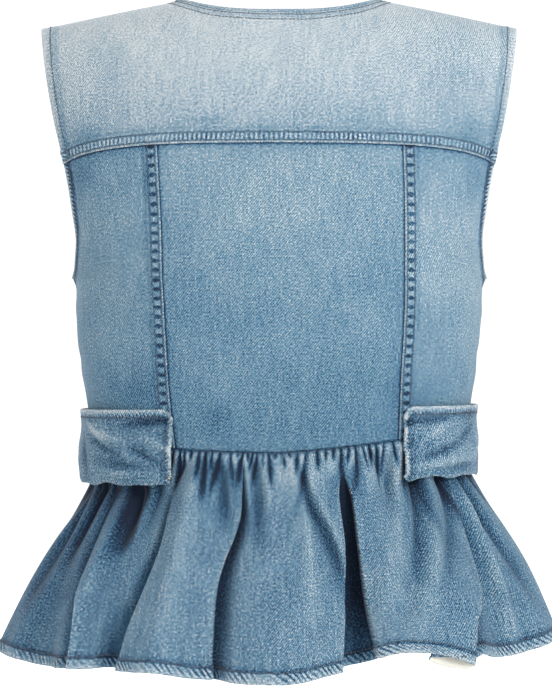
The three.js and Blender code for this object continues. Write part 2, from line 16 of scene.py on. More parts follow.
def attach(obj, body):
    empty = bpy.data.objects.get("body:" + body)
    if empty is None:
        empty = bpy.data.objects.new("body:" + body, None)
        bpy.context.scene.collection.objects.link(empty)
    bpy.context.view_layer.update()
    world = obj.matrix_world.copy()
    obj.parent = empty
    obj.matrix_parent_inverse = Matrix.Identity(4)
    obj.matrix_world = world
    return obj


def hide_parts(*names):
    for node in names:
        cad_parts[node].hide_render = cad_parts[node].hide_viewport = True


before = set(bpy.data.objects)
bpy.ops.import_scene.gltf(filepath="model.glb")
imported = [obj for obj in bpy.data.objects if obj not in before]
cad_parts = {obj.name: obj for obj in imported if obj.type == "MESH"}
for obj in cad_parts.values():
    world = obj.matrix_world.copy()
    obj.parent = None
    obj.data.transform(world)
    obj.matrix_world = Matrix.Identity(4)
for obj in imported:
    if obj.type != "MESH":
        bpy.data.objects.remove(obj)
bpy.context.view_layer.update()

bl_info = {
    "name": "Denim vest with a gathered peplum",
    "version": (1, 0, 0),
    "blender": (4, 5, 0),
    "location": "3D View > Sidebar > Vest",
    "description": "Builds a washed denim vest with a yoke, princess seams, waist tabs and a gathered peplum",
    "category": "Object",
}

MM = 0.001

# ---------------------------------------------------------------------------------------------------------
# Sizes that the solids share
# ---------------------------------------------------------------------------------------------------------
CLOTH = 1.4
TAB_CLOTH = 2.2
PLACKET_CLOTH = 1.6
GAP = 0.3
FELL_RAISE = 0.9
FELL_WIDTH = 10.5
FELL_STEP = 1.2

ARM_Z = -233.0
ARMHOLE_LOW = ARM_Z - 1
SHOULDER_X = 199.0
ARMHOLE_EDGE = {"rise": (0, 0.28, 0.45, 0.62, 0.8, 1), "x": (170, 171.4, 177.4, 185.8, 192.4, 199)}
NECK_X = 87.0
SHOULDER_DROP = 23.0
RIDGE_BEND = 60.0
RING_POWER = 2.3
HALVES = {
    "back": {"depth": 118.0, "power": 2.3, "neck": 28.5, "other": "front", "way": 1},
    "front": {"depth": 124.0, "power": 2.0, "neck": 51.5, "other": "back", "way": -1},
}
ARMHOLE_SHARE = 0.43
ARMHOLE_ROUND = 0.35
SHOULDER_SEAM = 96.0
FRONT_TOP = 180 - SHOULDER_SEAM - 0.15
NECK_SHARED_LEVEL = 28.0
RINGS = {
    "z": (-395, -365, -338, -290, -233, -176),
    "side": (156.5, 157.5, 160.5, 168, 170, 171),
    "back": (98, 100, 104, 113, 118, 113),
    "front": (106, 108, 114, 122, 124, 122),
}
WAIST_CENTRE_Z = -375.0
WAIST_SIDE_RISE = 13.0
WAIST_BOW = 1.2
WAIST_LEAN = 6.0
YOKE_CENTRE_Z = -125.0
YOKE_SIDE_DROP = 14.0
YOKE_LEVEL = 25.0
PRINCESS = {
    "level": (-100, -66, -33, 0, 25),
    "left": (84.5, 89.5, 92, 94.5, 98.8),
    "right": (97, 98.5, 101, 102, 100.5),
}
PEPLUM_LENGTH = 196.0
FLARE_SIDE = 72.0
FLARE_CENTRE = 79.0
FLARE_EASE = 0.33
TAB_HOLD = 0.19
GATHERS = {"back": (-90, 90, 68), "left": (90, 171, 31), "right": (-171, -90, 31)}
# Wide folds: angle at the waist, angle at the hem, how far out, lean and lift
FOLDS = (
    (-172, -172, 3, 0, 3), (-158, -156, -11, 0, 3), (-142, -140, 15, -3, 3), (-127, -125, -14, 2, 3),
    (-111, -108, 15, 4, 3), (-95, -92, -9, 0, 6), (-78, -75, 9, -3, 6), (-61, -55, -13, 7, 6),
    (-36, -39, 19, -7, 1), (-21, -16, -24, 0, 17), (-3, 0, 13, 0, -4), (13, 15, -10, -2, 7),
    (23, 27, 12, 4, 3), (37, 38, -13, -7, 12), (50, 48, 10, 6, 2), (60, 59, -13, -8, 8),
    (78, 79, 9, 3, 6), (94, 95, -10, 0, 5), (110, 111, 14, -4, 3), (126, 125, -14, 2, 3),
    (141, 140, 16, 3, 3), (157, 156, -11, 0, 3), (172, 172, 3, 0, 3),
)
TAB_TOP_Z = -339.0
TAB_HEIGHT = 61.0
TAB_LEAN = 2.0
TAB_BACK = {"left": 29.5, "right": 36.0}
TAB_FRONT = 148.0
TAB_LIFT_END = 1.2
TAB_LIFT_MIDDLE = 4.0
TAB_LIFT_BOTTOM = 8.2
PLACKET_HALF = 14.0
OPENING_X = -12.0
BINDING = {"width": 4.2, "thickness": 3.0, "raise": 0.8}
BUTTON_COUNT = 7
# Half a seam's gap: as a share across the bodice, and in degrees round the waist
SEAM_SHARE = GAP / 2 / 250
SEAM_TURN = 0.06
# Millimetres of cloth a degree round the bodice, and round the waist under the tabs
BODY_MM_A_DEGREE = 2.4
TAB_MM_A_DEGREE = 2.3
# How far inside its edge each row of stitches runs
STITCHES = {
    "fell": (1.7, 8.4), "neck": (1.6, 7.6), "yoke_armhole": 8.0, "back_armhole": 6.4, "front_armhole": 6.0,
    "tab_top": 6.2, "tab_end": 5.0, "placket": 5.2, "hem": 9.4,
}
# Width, height and length of a stitch, how far its middle is above the cloth, and how far a shell's rim bulges
STITCH_SIZE = (0.95, 0.6, 2.8)
STITCH_SINK = 0.12
RIM_BULGE = 0.35

# ---------------------------------------------------------------------------------------------------------
# Creases, gathers and tone, with painted shade and highlights
# ---------------------------------------------------------------------------------------------------------
# Distance of each gather's crest from the centre plane at the back waist seam, from the wearer's left
CRESTS = (
    81.1, 77.6, 74.7, 66.7, 60.9, 56.6, 50.9, 42.9, 35.0, 30.7, 27.1, 22.7, 19.4, 15.4, 10.6, 5.7, 0.4,
    -5.3, -11.2, -17.7, -26.6, -34.6, -41.0, -46.7, -53.2, -58.6, -64.2, -69.3, -75.0, -81.4, -87.1, -96.0,
)
# Folds and creases of the peplum. Each row of a path is: share of the length, angle, half width towards the
# wearer's left, half width towards the right, and how far the cloth stands out, less than 0 in a groove. The
# first entry of each, its change of tone, is painted shade in a groove and a painted highlight on a ridge, and
# fade is how much of it is lost at the hem. lip is how far the cloth beside a groove leans over it, from the
# left and from the right, run is how far from the groove that cloth moves, wall is how gradual its side is,
# and sag is how far it hangs down at the hem.
PEPLUM_CREASES = (
    {"wash": -0.7, "fade": 0.6, "lip": (7, 7), "path": (
        (0.08, -15.6, 1, 1, -0.6), (0.16, -15.4, 3.4, 3, -3.5), (0.25, -15.8, 6.2, 5.6, -11),
        (0.45, -16.3, 6.2, 6.2, -16), (0.7, -16.3, 10.4, 10, -18), (0.85, -16.3, 13.6, 14.5, -16),
        (1, -16.2, 17.6, 21.5, -14))},
    {"wash": -0.5, "fade": 0.4, "lip": (6, 0), "path": (
        (0.06, 7.8, 1, 2, -1), (0.19, 7.8, 1, 4, -5.5), (0.3, 7.8, 1.2, 6.4, -9), (0.4, 9.1, 1.4, 9, -10),
        (0.5, 10.9, 1.6, 10.5, -11), (0.62, 12.2, 2, 13, -11), (0.86, 12.6, 2.4, 14, -10),
        (1, 12.4, 3, 14, -9))},
    {"wash": -0.34, "lip": (0, 9), "path": (
        (0.12, 54.6, 4, 1, -2), (0.3, 54.3, 9, 1.5, -6), (0.58, 53, 14, 2, -10), (0.78, 51, 18, 2, -12),
        (1, 49.7, 22, 2, -12))},
    {"wash": -0.36, "lip": (0, 9), "path": (
        (0.08, 27, 3, 1, -2), (0.2, 28.3, 6, 1.5, -6), (0.42, 29, 10, 2, -9), (0.58, 31, 14, 2, -11),
        (0.8, 33.5, 18, 2, -12), (1, 34.5, 22, 2, -12))},
    {"wash": -0.26, "lip": (40, 0), "run": 38, "wall": 1.3, "sag": 11, "path": (
        (0.2, -59.6, 1, 5, -0.6), (0.4, -55.6, 1.5, 9, -3), (0.6, -51.6, 2, 12, -6),
        (0.8, -47.6, 2.5, 16, -10), (1, -42.8, 3, 20, -15))},
    {"wash": 0.05, "sag": -10, "path": (
        (0.5, -26, 17, 24, 0.3), (0.8, -26, 17, 27, 1), (1, -26, 16, 28, 2))},
    {"wash": -0.12, "sag": -4, "path": (
        (0.4, -59, 6, 14, -2), (0.6, -54, 8, 16, -4), (1, -47, 10, 22, -4))},
    {"wash": 0.11, "path": (
        (0.01, -1.9, 2.5, 2, 1.3), (0.17, -3.8, 5, 2.6, 3.6), (0.42, -6, 7, 3, 4.4), (0.63, -6.7, 8, 4, 3.1),
        (0.8, -7, 9, 8, 0))},
    {"wash": -0.3, "path": (
        (0.1, -5, 2, 2, -2), (0.25, -6.2, 3, 3, -4.7), (0.38, -8.8, 4, 4, -4.7), (0.58, -11.4, 5, 5, -3.9),
        (0.78, -12, 6, 6, 0))},
    {"wash": 0.09, "path": (
        (0.02, -4.7, 2, 2, 1.3), (0.24, -8.4, 2.6, 2, 3.4), (0.46, -11.6, 3, 2, 3.9),
        (0.66, -13.2, 4, 2, 0))},
    {"wash": -0.3, "path": (
        (0.02, 4.6, 2, 2, -1.3), (0.15, 4.4, 4.5, 4.5, -5.2), (0.3, 4, 6, 5, -3.9), (0.48, 3.6, 8, 6, 0))},
    {"wash": 0.09, "path": (
        (0.04, 2, 1.5, 1.5, 1), (0.16, 2.2, 2, 2, 2.9), (0.32, 1.6, 2.5, 2.5, 0))},
    {"wash": -0.36, "path": (
        (0.02, 13.9, 3, 3, -1.3), (0.12, 13.7, 4, 4, -5.7), (0.24, 13.2, 4, 4, -3.9), (0.4, 13, 6, 6, 0))},
    {"wash": 0.08, "path": (
        (0.03, 20.3, 4, 4, 1.3), (0.25, 20.8, 8, 6, 3.9), (0.6, 22.5, 12, 9, 5.2), (1, 25, 16, 12, 1.3))},
    {"wash": -0.24, "path": (
        (0.05, -41.5, 2.4, 3, -2.6), (0.2, -41, 3.6, 4, -6.5), (0.45, -36.2, 5, 5, -6.5),
        (0.68, -31.8, 6, 6, 0))},
    {"wash": -0.18, "path": (
        (0.12, -54.5, 3, 3, -2.6), (0.3, -50.5, 4, 4, -5.5), (0.5, -43.6, 5, 5, -4.5),
        (0.72, -35.6, 6, 6, 0))},
    {"wash": -0.2, "path": (
        (0.02, -31, 2.4, 3, -2.6), (0.12, -30.6, 3, 3, -4.5), (0.26, -29.4, 4, 4, 0))},
    {"wash": 0.09, "path": (
        (0.05, -35, 3, 3, 1.3), (0.2, -33, 5, 5, 4.4), (0.45, -28.8, 8, 7, 4.4), (1, -22, 10, 8, 0.6))},
    {"wash": 0.08, "path": (
        (0.14, -47.6, 3, 3, 1.3), (0.35, -43, 4, 5, 4.4), (0.7, -34, 6, 6, 3.9), (1, -26.5, 5, 5, 1))},
    {"wash": -0.24, "path": (
        (0.16, -66, 3, 4, -3.9), (0.3, -68, 4, 6, -7.8), (0.6, -70, 6, 9, -5.2), (0.85, -71, 9, 12, 0))},
    {"wash": 0.09, "path": (
        (0.16, -62.6, 3, 2.4, 2.6), (0.34, -62.4, 5, 3, 5.2), (0.7, -61, 9, 5, 5.2), (1, -60, 12, 9, 2.6))},
    {"wash": -0.24, "path": (
        (0.17, 43.5, 3, 3, -2.6), (0.3, 43, 5, 5, -6.5), (0.5, 42.5, 7, 7, 0))},
    {"wash": 0.08, "path": (
        (0.16, 47, 3, 4, 2.6), (0.5, 47.4, 7, 5, 5.2), (1, 48, 12, 6, 2.6))},
    {"wash": -0.24, "path": (
        (0.17, 64, 4, 3, -3.9), (0.32, 65, 5, 4, -6.5), (0.6, 66, 8, 6, 0))},
    {"wash": -0.21, "path": (
        (0.2, 75, 4, 4, -3.9), (0.5, 74, 6, 9, -6.5), (0.85, 73, 9, 14, 0))},
    {"wash": -0.14, "lip": (5, 0), "path": (
        (0.22, 95, 1.5, 6, -2), (0.5, 96, 2, 10, -6), (1, 97, 3, 16, -6))},
    {"wash": -0.3, "lip": (0, 7), "path": (
        (0.1, 127, 4, 1, -2), (0.4, 127, 10, 1.5, -8), (1, 126, 20, 3, -10))},
    {"wash": 0.09, "path": (
        (0.06, 140, 4, 4, 1.3), (0.4, 141, 9, 7, 5.2), (0.8, 141, 12, 10, 0))},
    {"wash": -0.3, "lip": (5, 5), "path": (
        (0.05, 155, 2, 2, -2), (0.3, 157, 3, 3, -7), (0.7, 157, 5, 5, -9), (1, 157, 8, 8, -6))},
    {"wash": -0.14, "lip": (0, 5), "path": (
        (0.22, -96, 8, 1.5, -2), (0.5, -94, 12, 2, -6), (1, -93, 16, 3, -6))},
    {"wash": -0.3, "lip": (7, 0), "path": (
        (0.1, -128, 1, 4, -2), (0.4, -127, 1.5, 10, -8), (1, -125, 3, 18, -10))},
    {"wash": 0.09, "path": (
        (0.06, -143, 4, 4, 1.3), (0.45, -141, 8, 9, 5.2), (0.9, -140, 12, 12, 0))},
    {"wash": -0.3, "lip": (5, 5), "path": (
        (0.05, -156, 2, 2, -2), (0.35, -158, 3, 3, -7), (0.7, -157, 6, 6, -8), (1, -156, 8, 8, -5))},
)
# Columns of the peplum's cloth are closer together round these angles, within this many degrees
DENSE_AT = (
    (-14.6, 6), (10, 5), (52, 5), (31, 6), (-28, 6), (-45, 8), (96, 3), (127, 4), (157, 4), (-94, 3),
    (-127, 4), (-157, 4),
)
# Soft dents and ridges of the bodice: angle round the body, height, slant from level in degrees, half length,
# half width and how far each stands out
BODY_CREASES = (
    (52, -205, 62, 34, 7, -1.1), (60, -216, 58, 30, 6, 0.9), (66, -262, 20, 34, 9, -0.9),
    (57, -300, 78, 38, 9, -0.8), (70, -318, 12, 36, 8, 1.0), (-53, -198, 118, 34, 7, -1.1),
    (-61, -214, 122, 28, 6, 0.9), (-66, -258, 160, 36, 9, -0.9), (-59, -306, 96, 40, 9, -0.8),
    (-72, -322, 168, 36, 8, 0.9), (14, -352, 84, 24, 6, -0.8), (3, -356, 92, 20, 5, 0.7),
    (-9, -350, 96, 26, 6, -0.8), (-22, -354, 100, 22, 6, 0.8), (26, -350, 78, 22, 5, 0.7),
    (8, -240, 12, 52, 16, 0.7), (-16, -288, 170, 48, 15, -0.7), (20, -190, 166, 44, 14, -0.6),
    (88, -300, 4, 30, 8, -1.0), (-88, -296, 176, 30, 8, -1.0), (92, -258, 172, 26, 7, 0.8),
    (-92, -262, 8, 26, 7, 0.8), (118, -236, 36, 42, 9, -1.2), (-118, -232, 144, 42, 9, -1.2),
    (128, -262, 28, 40, 8, 0.9), (-127, -258, 152, 38, 8, 0.9), (134, -318, 10, 40, 9, -0.9),
    (-138, -314, 172, 38, 9, -0.9), (150, -350, 96, 24, 6, 0.7), (-150, -348, 84, 24, 6, -0.7),
    (160, -204, 60, 36, 10, -0.8), (-162, -196, 118, 34, 10, -0.8),
)
# Creases of the waist tabs: angle from the centre back, height, slant, half length, half width, how far out
TAB_CREASES = {
    "left": ((50, -351, -8, 24, 2.6, -2.4), (40, -357, 12, 14, 2.4, 1.4), (44, -372, 24, 20, 3.4, 2.0),
             (52, -377, 30, 17, 2.6, -2.0), (60, -386, 8, 22, 4, -1.8), (64, -364, 16, 18, 3, 1.6),
             (68, -371, 24, 18, 2.6, -1.9), (72, -358, 34, 16, 3, 1.6), (58, -393, -6, 16, 2.6, 1.4),
             (78, -380, 70, 16, 4, -1.4), (86, -372, 80, 20, 5, 1.4), (95, -366, 30, 18, 3, -1.6),
             (104, -356, 10, 26, 5, -1.5), (112, -384, 168, 20, 4, 1.4), (118, -374, 165, 24, 4, -1.4),
             (132, -352, 175, 22, 4, -1.4), (136, -384, 20, 16, 4, 1.2)),
    "right": ((56, -350, -6, 24, 2.6, -2.2), (47, -358, 164, 14, 2.6, 1.8), (50, -370, 156, 18, 3, -2.0),
              (56, -364, 150, 20, 3, 2.0), (62, -374, 160, 20, 2.8, -2.0), (60, -384, 172, 24, 3.6, 1.6),
              (70, -388, 176, 18, 3, -1.6), (74, -360, 148, 16, 3, -1.6), (82, -368, 130, 18, 4, 1.5),
              (90, -376, 100, 18, 5, -1.4), (98, -362, 20, 18, 4, 1.4), (106, -354, 8, 24, 5, -1.5),
              (120, -378, 170, 24, 4, 1.3), (134, -352, 4, 22, 4, -1.4), (138, -384, 160, 16, 4, 1.2)),
}
# Patches of the back that kept more of the dye, or lost more: x, z, half width, half height, change of shade
BACK_PATCHES = (
    (58, -107, 16, 4, -0.15), (88, -110, 9, 3, -0.1), (-60, -108, 12, 4, -0.1), (160, -118, 12, 9, -0.13),
    (-158, -112, 12, 10, -0.12), (160, -150, 12, 16, -0.12), (-160, -152, 12, 14, -0.1),
    (76, -225, 14, 42, -0.05), (-84, -236, 16, 46, -0.05), (-72, -262, 24, 34, 0.04),
    (0, -182, 70, 38, 0.045), (-46, -352, 34, 18, -0.06),
    (54, -352, 30, 16, -0.06), (30, -306, 40, 26, 0.02), (106, -152, 4, 20, -0.1), (130, -292, 22, 36, 0.03),
    (-130, -214, 26, 40, 0.05), (-112, -330, 18, 16, -0.1), (118, -328, 18, 16, -0.1), (0, -60, 90, 26, 0.03),
    (142, -70, 18, 44, -0.07), (-144, -60, 18, 50, -0.06), (0, -118, 150, 6, -0.03),
)
# Tone of the cloth by height, 0 the deepest blue and 1 the palest: the cloth's fade, and painted light that
# makes it paler towards the top
FADE_AND_LIGHT_BY_HEIGHT = {
    "yoke": ((-140, -118, -90, -55, -20, 10), (0.66, 0.7, 0.79, 0.855, 0.9, 0.92)),
    "centre": ((-385, -340, -290, -240, -190, -140), (0.49, 0.5, 0.53, 0.57, 0.62, 0.66)),
    "side": ((-385, -340, -290, -240, -190, -140), (0.44, 0.47, 0.53, 0.58, 0.6, 0.57)),
    "front": ((-385, -320, -250, -180, -100, -40, 0), (0.5, 0.56, 0.62, 0.68, 0.76, 0.84, 0.88)),
}
# The studio, in metres: what its settings leave fixed, and for each light its name, the setting that gives its
# power and how much of it, its place and its size
SENSOR_WIDTH = 36
CAMERA_X = 0.0025
EXPOSURE = 0.75
LIT_POINT = (0, 0, -0.3)
LIGHTS = (
    ("key", "key", 1, (-1.7, 2.2, 1.0), 1.2), ("fill", "fill", 1, (1.8, 2.0, 0.1), 1.6),
    ("front_fill", "key", 0.7, (0.6, -2.6, 0.7), 1.8),
)


# ---------------------------------------------------------------------------------------------------------
# Surface functions, in millimetres, on arrays
# ---------------------------------------------------------------------------------------------------------
def smooth(x, low, high):
    """0 below low, 1 above high, and an easy curve between them."""
    f = np.clip((np.asarray(x, float) - low) / (high - low), 0, 1)
    return f * f * (3 - 2 * f)


def mix(a, b, f):
    """From a to b as f goes from 0 to 1."""
    return a + (b - a) * f


def chance(n):
    """A repeatable number from 0 to 1 for each whole number."""
    s = np.sin(np.asarray(n, float) * 127.1 + 311.7) * 43758.5453
    return s - np.floor(s)


def curve(xs, ys, x):
    """A smooth curve through a table's points, read at x."""
    xs, ys, x = (np.asarray(v, float) for v in (xs, ys, x))
    last = len(xs) - 1
    low = np.maximum(np.arange(last + 1) - 1, 0)
    high = np.minimum(np.arange(last + 1) + 1, last)
    slope = (ys[high] - ys[low]) / (xs[high] - xs[low])
    k = np.clip(np.searchsorted(xs, x, side="left") - 1, 0, last - 1)
    width = xs[k + 1] - xs[k]
    f = np.clip((x - xs[k]) / width, 0, 1)
    a, b = ys[k], ys[k + 1]
    m0, m1 = slope[k] * width, slope[k + 1] * width
    return a + f * (m0 + f * (3 * (b - a) - 2 * m0 - m1 + f * (2 * (a - b) + m0 + m1)))


def ridge_z(x):
    """Height of the shoulder ridge, at a distance from the centre plane."""
    neck, here, tip = (np.hypot(place, RIDGE_BEND) for place in (NECK_X, x, SHOULDER_X))
    return SHOULDER_DROP * (neck - here) / (tip - neck)


def armhole_turn(rise):
    """How far round its ring the armhole's edge lies, in radians, at a share of the armhole's height."""
    rounding = np.sqrt(np.maximum(1 - (1 - np.minimum(rise / ARMHOLE_ROUND, 1)) ** 2, 0))
    return np.arccos((ARMHOLE_SHARE * rounding) ** (RING_POWER / 2))


def armhole_x(rise):
    """Distance of the armhole's edge from the centre plane, at a share of the armhole's height."""
    return curve(ARMHOLE_EDGE["rise"], ARMHOLE_EDGE["x"], rise)


def ring_share(value):
    """A share of a ring's half width or depth, for the sine or cosine of an angle."""
    return np.sign(value) * np.abs(value) ** (2 / RING_POWER)


def share_across(x, widest, turn):
    """How far across a ring a distance from the centre plane is, where the ring turns so far to its edge."""
    share = (np.abs(x) / widest) ** (RING_POWER / 2)
    return np.sign(x) * np.arcsin(np.clip(np.sin(turn) * share, -1, 1)) / turn


def upper_x(across, rise):
    """Distance from the centre plane above the underarm, at a share across and a share of the height."""
    edge = armhole_turn(rise)
    return armhole_x(rise) * ring_share(np.sin(across * edge) / np.sin(edge))


def waist_z(across):
    """Height of the waist seam, at a share across."""
    turn = np.sin(np.radians(90 * np.asarray(across, float)))
    return WAIST_CENTRE_Z + WAIST_SIDE_RISE * np.abs(turn) ** WAIST_BOW - WAIST_LEAN * turn


def yoke_z(across):
    """Height of the yoke seam, at a share across."""
    return YOKE_CENTRE_Z - YOKE_SIDE_DROP * np.abs(across) ** 3


def ring_point(angle, z):
    """A point of the bodice's ring at a height. The angle is 0 at the centre back and 90 at the left side."""
    a = np.radians(angle)
    side, back, front = (curve(RINGS["z"], RINGS[key], z) for key in ("side", "back", "front"))
    depth = np.where(np.cos(a) >= 0, back, front)
    return np.stack([side * ring_share(np.sin(a)), depth * ring_share(np.cos(a)), z + 0 * a], axis=-1)


def rise_of(half, level):
    """Share of the armhole's height, at a level from 0 to 90."""
    return np.sin(np.radians(level)) ** (2 / HALVES[half]["power"])


def bodice(half, across, level):
    """A point of the bodice: level -100 at the waist seam, 0 at the underarm, 90 on the shoulder ridge."""
    q, lv = (v.copy() for v in np.broadcast_arrays(np.asarray(across, float), np.asarray(level, float)))
    points = np.empty(q.shape + (3,))
    for here, name, height in ((lv <= 90, half, lv), (lv > 90, HALVES[half]["other"], 180 - lv)):
        way, power, arm = (HALVES[name][key] for key in ("way", "power", "depth"))
        low = here & (height <= 0)
        if low.any():
            angle = 90 * q[low] if way > 0 else 180 - 90 * q[low]
            points[low] = ring_point(angle, mix(ARM_Z, waist_z(q[low]), -height[low] / 100))
        high = here & (height > 0)
        if high.any():
            rise = rise_of(name, height[high])
            depth = arm * np.maximum(np.cos(np.radians(height[high])), 0) ** (2 / power)
            turn = q[high] * armhole_turn(rise)
            top = ridge_z(upper_x(q[high], 1.0))
            points[high] = np.stack([
                upper_x(q[high], rise), way * depth * ring_share(np.cos(turn)), ARM_Z + (top - ARM_Z) * rise,
            ], axis=-1)
    return points


def level_of(half, across, z):
    """The level at which a place across the bodice has a height."""
    top = ridge_z(upper_x(across, 1.0))
    rise = np.clip((z - ARM_Z) / (top - ARM_Z), 0, 1)
    return np.degrees(np.arcsin(rise ** (HALVES[half]["power"] / 2)))


NECK_ACROSS = float(share_across(NECK_X, SHOULDER_X, armhole_turn(1.0)))


def neck_level(half, across):
    """Level of the neckline, at a share across."""
    share = np.minimum(np.abs(across) / NECK_ACROSS, 1)
    return 90 - HALVES[half]["neck"] * np.sqrt(1 - share * share)


def across_at(half, x, level):
    """A distance from the centre plane, as a share across at a level."""
    level = np.asarray(level, float)
    low = np.minimum(level, 0)
    rise = rise_of(half, np.maximum(level, 1e-6))
    below = share_across(x, bodice(half, 1, low)[..., 0], math.pi / 2)
    return np.where(level <= 0, below, share_across(x, armhole_x(rise), armhole_turn(rise)))


def princess(side, level):
    """Share across of a princess seam, at a level."""
    return across_at("back", curve(PRINCESS["level"], PRINCESS[side], level), level)


def fold_at(angles, t):
    """The wide folds' stand, lean and lift, for a row of angles and a column of shares of the length."""
    table = np.array(FOLDS, float)
    before, after = table[-1:].copy(), table[:1].copy()
    before[:, :2] -= 360
    after[:, :2] += 360
    table = np.concatenate([before, table, after])
    values = np.empty((len(t), len(angles), 3))
    for j, share in enumerate(t):
        place = mix(table[:, 0], table[:, 1], share)
        k = np.clip(np.searchsorted(place, angles, side="right") - 1, 0, len(place) - 2)
        f = smooth((angles - place[k]) / (place[k + 1] - place[k]), 0, 1)[:, None]
        values[j] = mix(table[k, 2:], table[k + 1, 2:], f)
    return values


def peplum_surface(angles, t, stand, slide=0.0, sag=0.0):
    """Points of the peplum: a row for each share of its length, a column for each angle round the waist.
    stand, slide and sag move the cloth out, towards the wearer's left round the back, and down."""
    turned = np.where(np.abs(angles) <= 90, angles, np.sign(angles) * (180 - np.abs(angles)))
    z = waist_z(turned / 90) - GAP / 4
    waist = ring_point(angles, z)
    along = ring_point(angles + 0.5, z) - ring_point(angles - 0.5, z)
    along[:, 2] = 0
    along /= np.linalg.norm(along, axis=-1, keepdims=True)
    outward = np.stack([-along[:, 1], along[:, 0], 0 * z], axis=-1)
    centre = np.abs(np.cos(np.radians(angles)))
    held = TAB_HOLD * smooth(np.abs(angles), 21, 31) * smooth(180 - np.abs(angles), 21, 31)
    t = t[:, None]
    free = np.maximum(t - held, 0) / (1 - held)
    flare = mix(FLARE_SIDE, FLARE_CENTRE, centre ** 1.5) * free * (1 + FLARE_EASE * (1 - free))
    fold = fold_at(angles, t[:, 0])
    swing = free ** 1.15
    out = flare + fold[..., 0] * swing
    run = PEPLUM_LENGTH * t
    drop = np.sqrt(np.maximum(run * run - out * out, 0.25 * run * run))
    points = waist + outward * (out + stand)[..., None] + along * (slide - fold[..., 1] * swing)[..., None]
    points[..., 2] = z - drop + fold[..., 2] * swing - sag
    return points


def steps(length, fine_low, fine_high, fine=1.0, coarse=2.4):
    """Shares from 0 to 1 of a length, a fine step apart within fine_low of its start and fine_high of its end,
    and about a coarse step apart between."""
    low = np.arange(0, fine_low, fine)
    high = length - np.arange(0, fine_high, fine)[::-1]
    count = max(int(math.ceil((length - fine_low - fine_high) / coarse)), 1)
    middle = np.linspace(fine_low, length - fine_high, count + 1)
    middle = middle[1 if fine_low > 0 else 0:len(middle) - (1 if fine_high > 0 else 0)]
    places = np.concatenate([low, middle, high]) if fine_low > 0 else np.concatenate([middle, high])
    return np.unique(np.clip(places / length, 0, 1))


# ---------------------------------------------------------------------------------------------------------
# Shells of cloth
# ---------------------------------------------------------------------------------------------------------
def unit(v):
    """Vectors made one long."""
    return v / np.maximum(np.linalg.norm(v, axis=-1, keepdims=True), 1e-9)


def grid_normals(p):
    """The direction out of the cloth at each point of a grid."""
    up, round_ = np.gradient(p, axis=0), np.gradient(p, axis=1)
    return unit(np.cross(up, round_))


def running(p, axis):
    """Distance run along one direction of a grid."""
    length = np.linalg.norm(np.diff(p, axis=axis), axis=-1)
    pad = [(0, 0), (0, 0)]
    pad[axis] = (1, 0)
    return np.pad(np.cumsum(length, axis=axis), pad)


def line_run(line):
    """Distance run along a line of points, up to each of them."""
    return np.concatenate([[0], np.cumsum(np.linalg.norm(np.diff(line, axis=0), axis=1))])


def on_line(line, run, places):
    """Points or normals of a line, read at distances run along it."""
    return np.stack([np.interp(places, run, line[:, k]) for k in range(3)], -1)


def near(points, line):
    """For each point, its distance from a line of points and how far along the line it is nearest."""
    a, b = line[:-1], line[1:]
    along = b - a
    size = np.maximum((along * along).sum(-1), 1e-9)
    start = np.concatenate([[0], np.cumsum(np.sqrt(size))])[:-1]
    flat = points.reshape(-1, 3)
    best = np.full(len(flat), 1e9)
    place = np.zeros(len(flat))
    for part in np.array_split(np.arange(len(a)), max(len(a) // 24, 1)):
        away = flat[:, None] - a[None, part]
        f = np.clip((away * along[part]).sum(-1) / size[part], 0, 1)
        gap = np.linalg.norm(away - f[..., None] * along[part], axis=-1)
        k = gap.argmin(1)
        rows = np.arange(len(flat))
        here = gap[rows, k]
        run = start[part][k] + f[rows, k] * np.sqrt(size[part][k])
        place = np.where(here < best, run, place)
        best = np.minimum(best, here)
    shape = points.shape[:-1]
    return best.reshape(shape), place.reshape(shape)


def bump(distance, centre, half):
    """A soft bump, 1 at its centre."""
    return np.exp(-((distance - centre) / half) ** 2)


def slanted(across, up, slant, long, wide):
    """A long soft bump, slanted from level in degrees."""
    c, s = math.cos(math.radians(slant)), math.sin(math.radians(slant))
    return np.exp(-((across * c + up * s) / long) ** 2 - ((up * c - across * s) / wide) ** 2)


# Each edge of a shell's grid, and the row or column beside it
EDGES = {"bottom": (np.s_[0], np.s_[1]), "top": (np.s_[-1], np.s_[-2]),
         "left": (np.s_[:, 0], np.s_[:, 1]), "right": (np.s_[:, -1], np.s_[:, -2])}


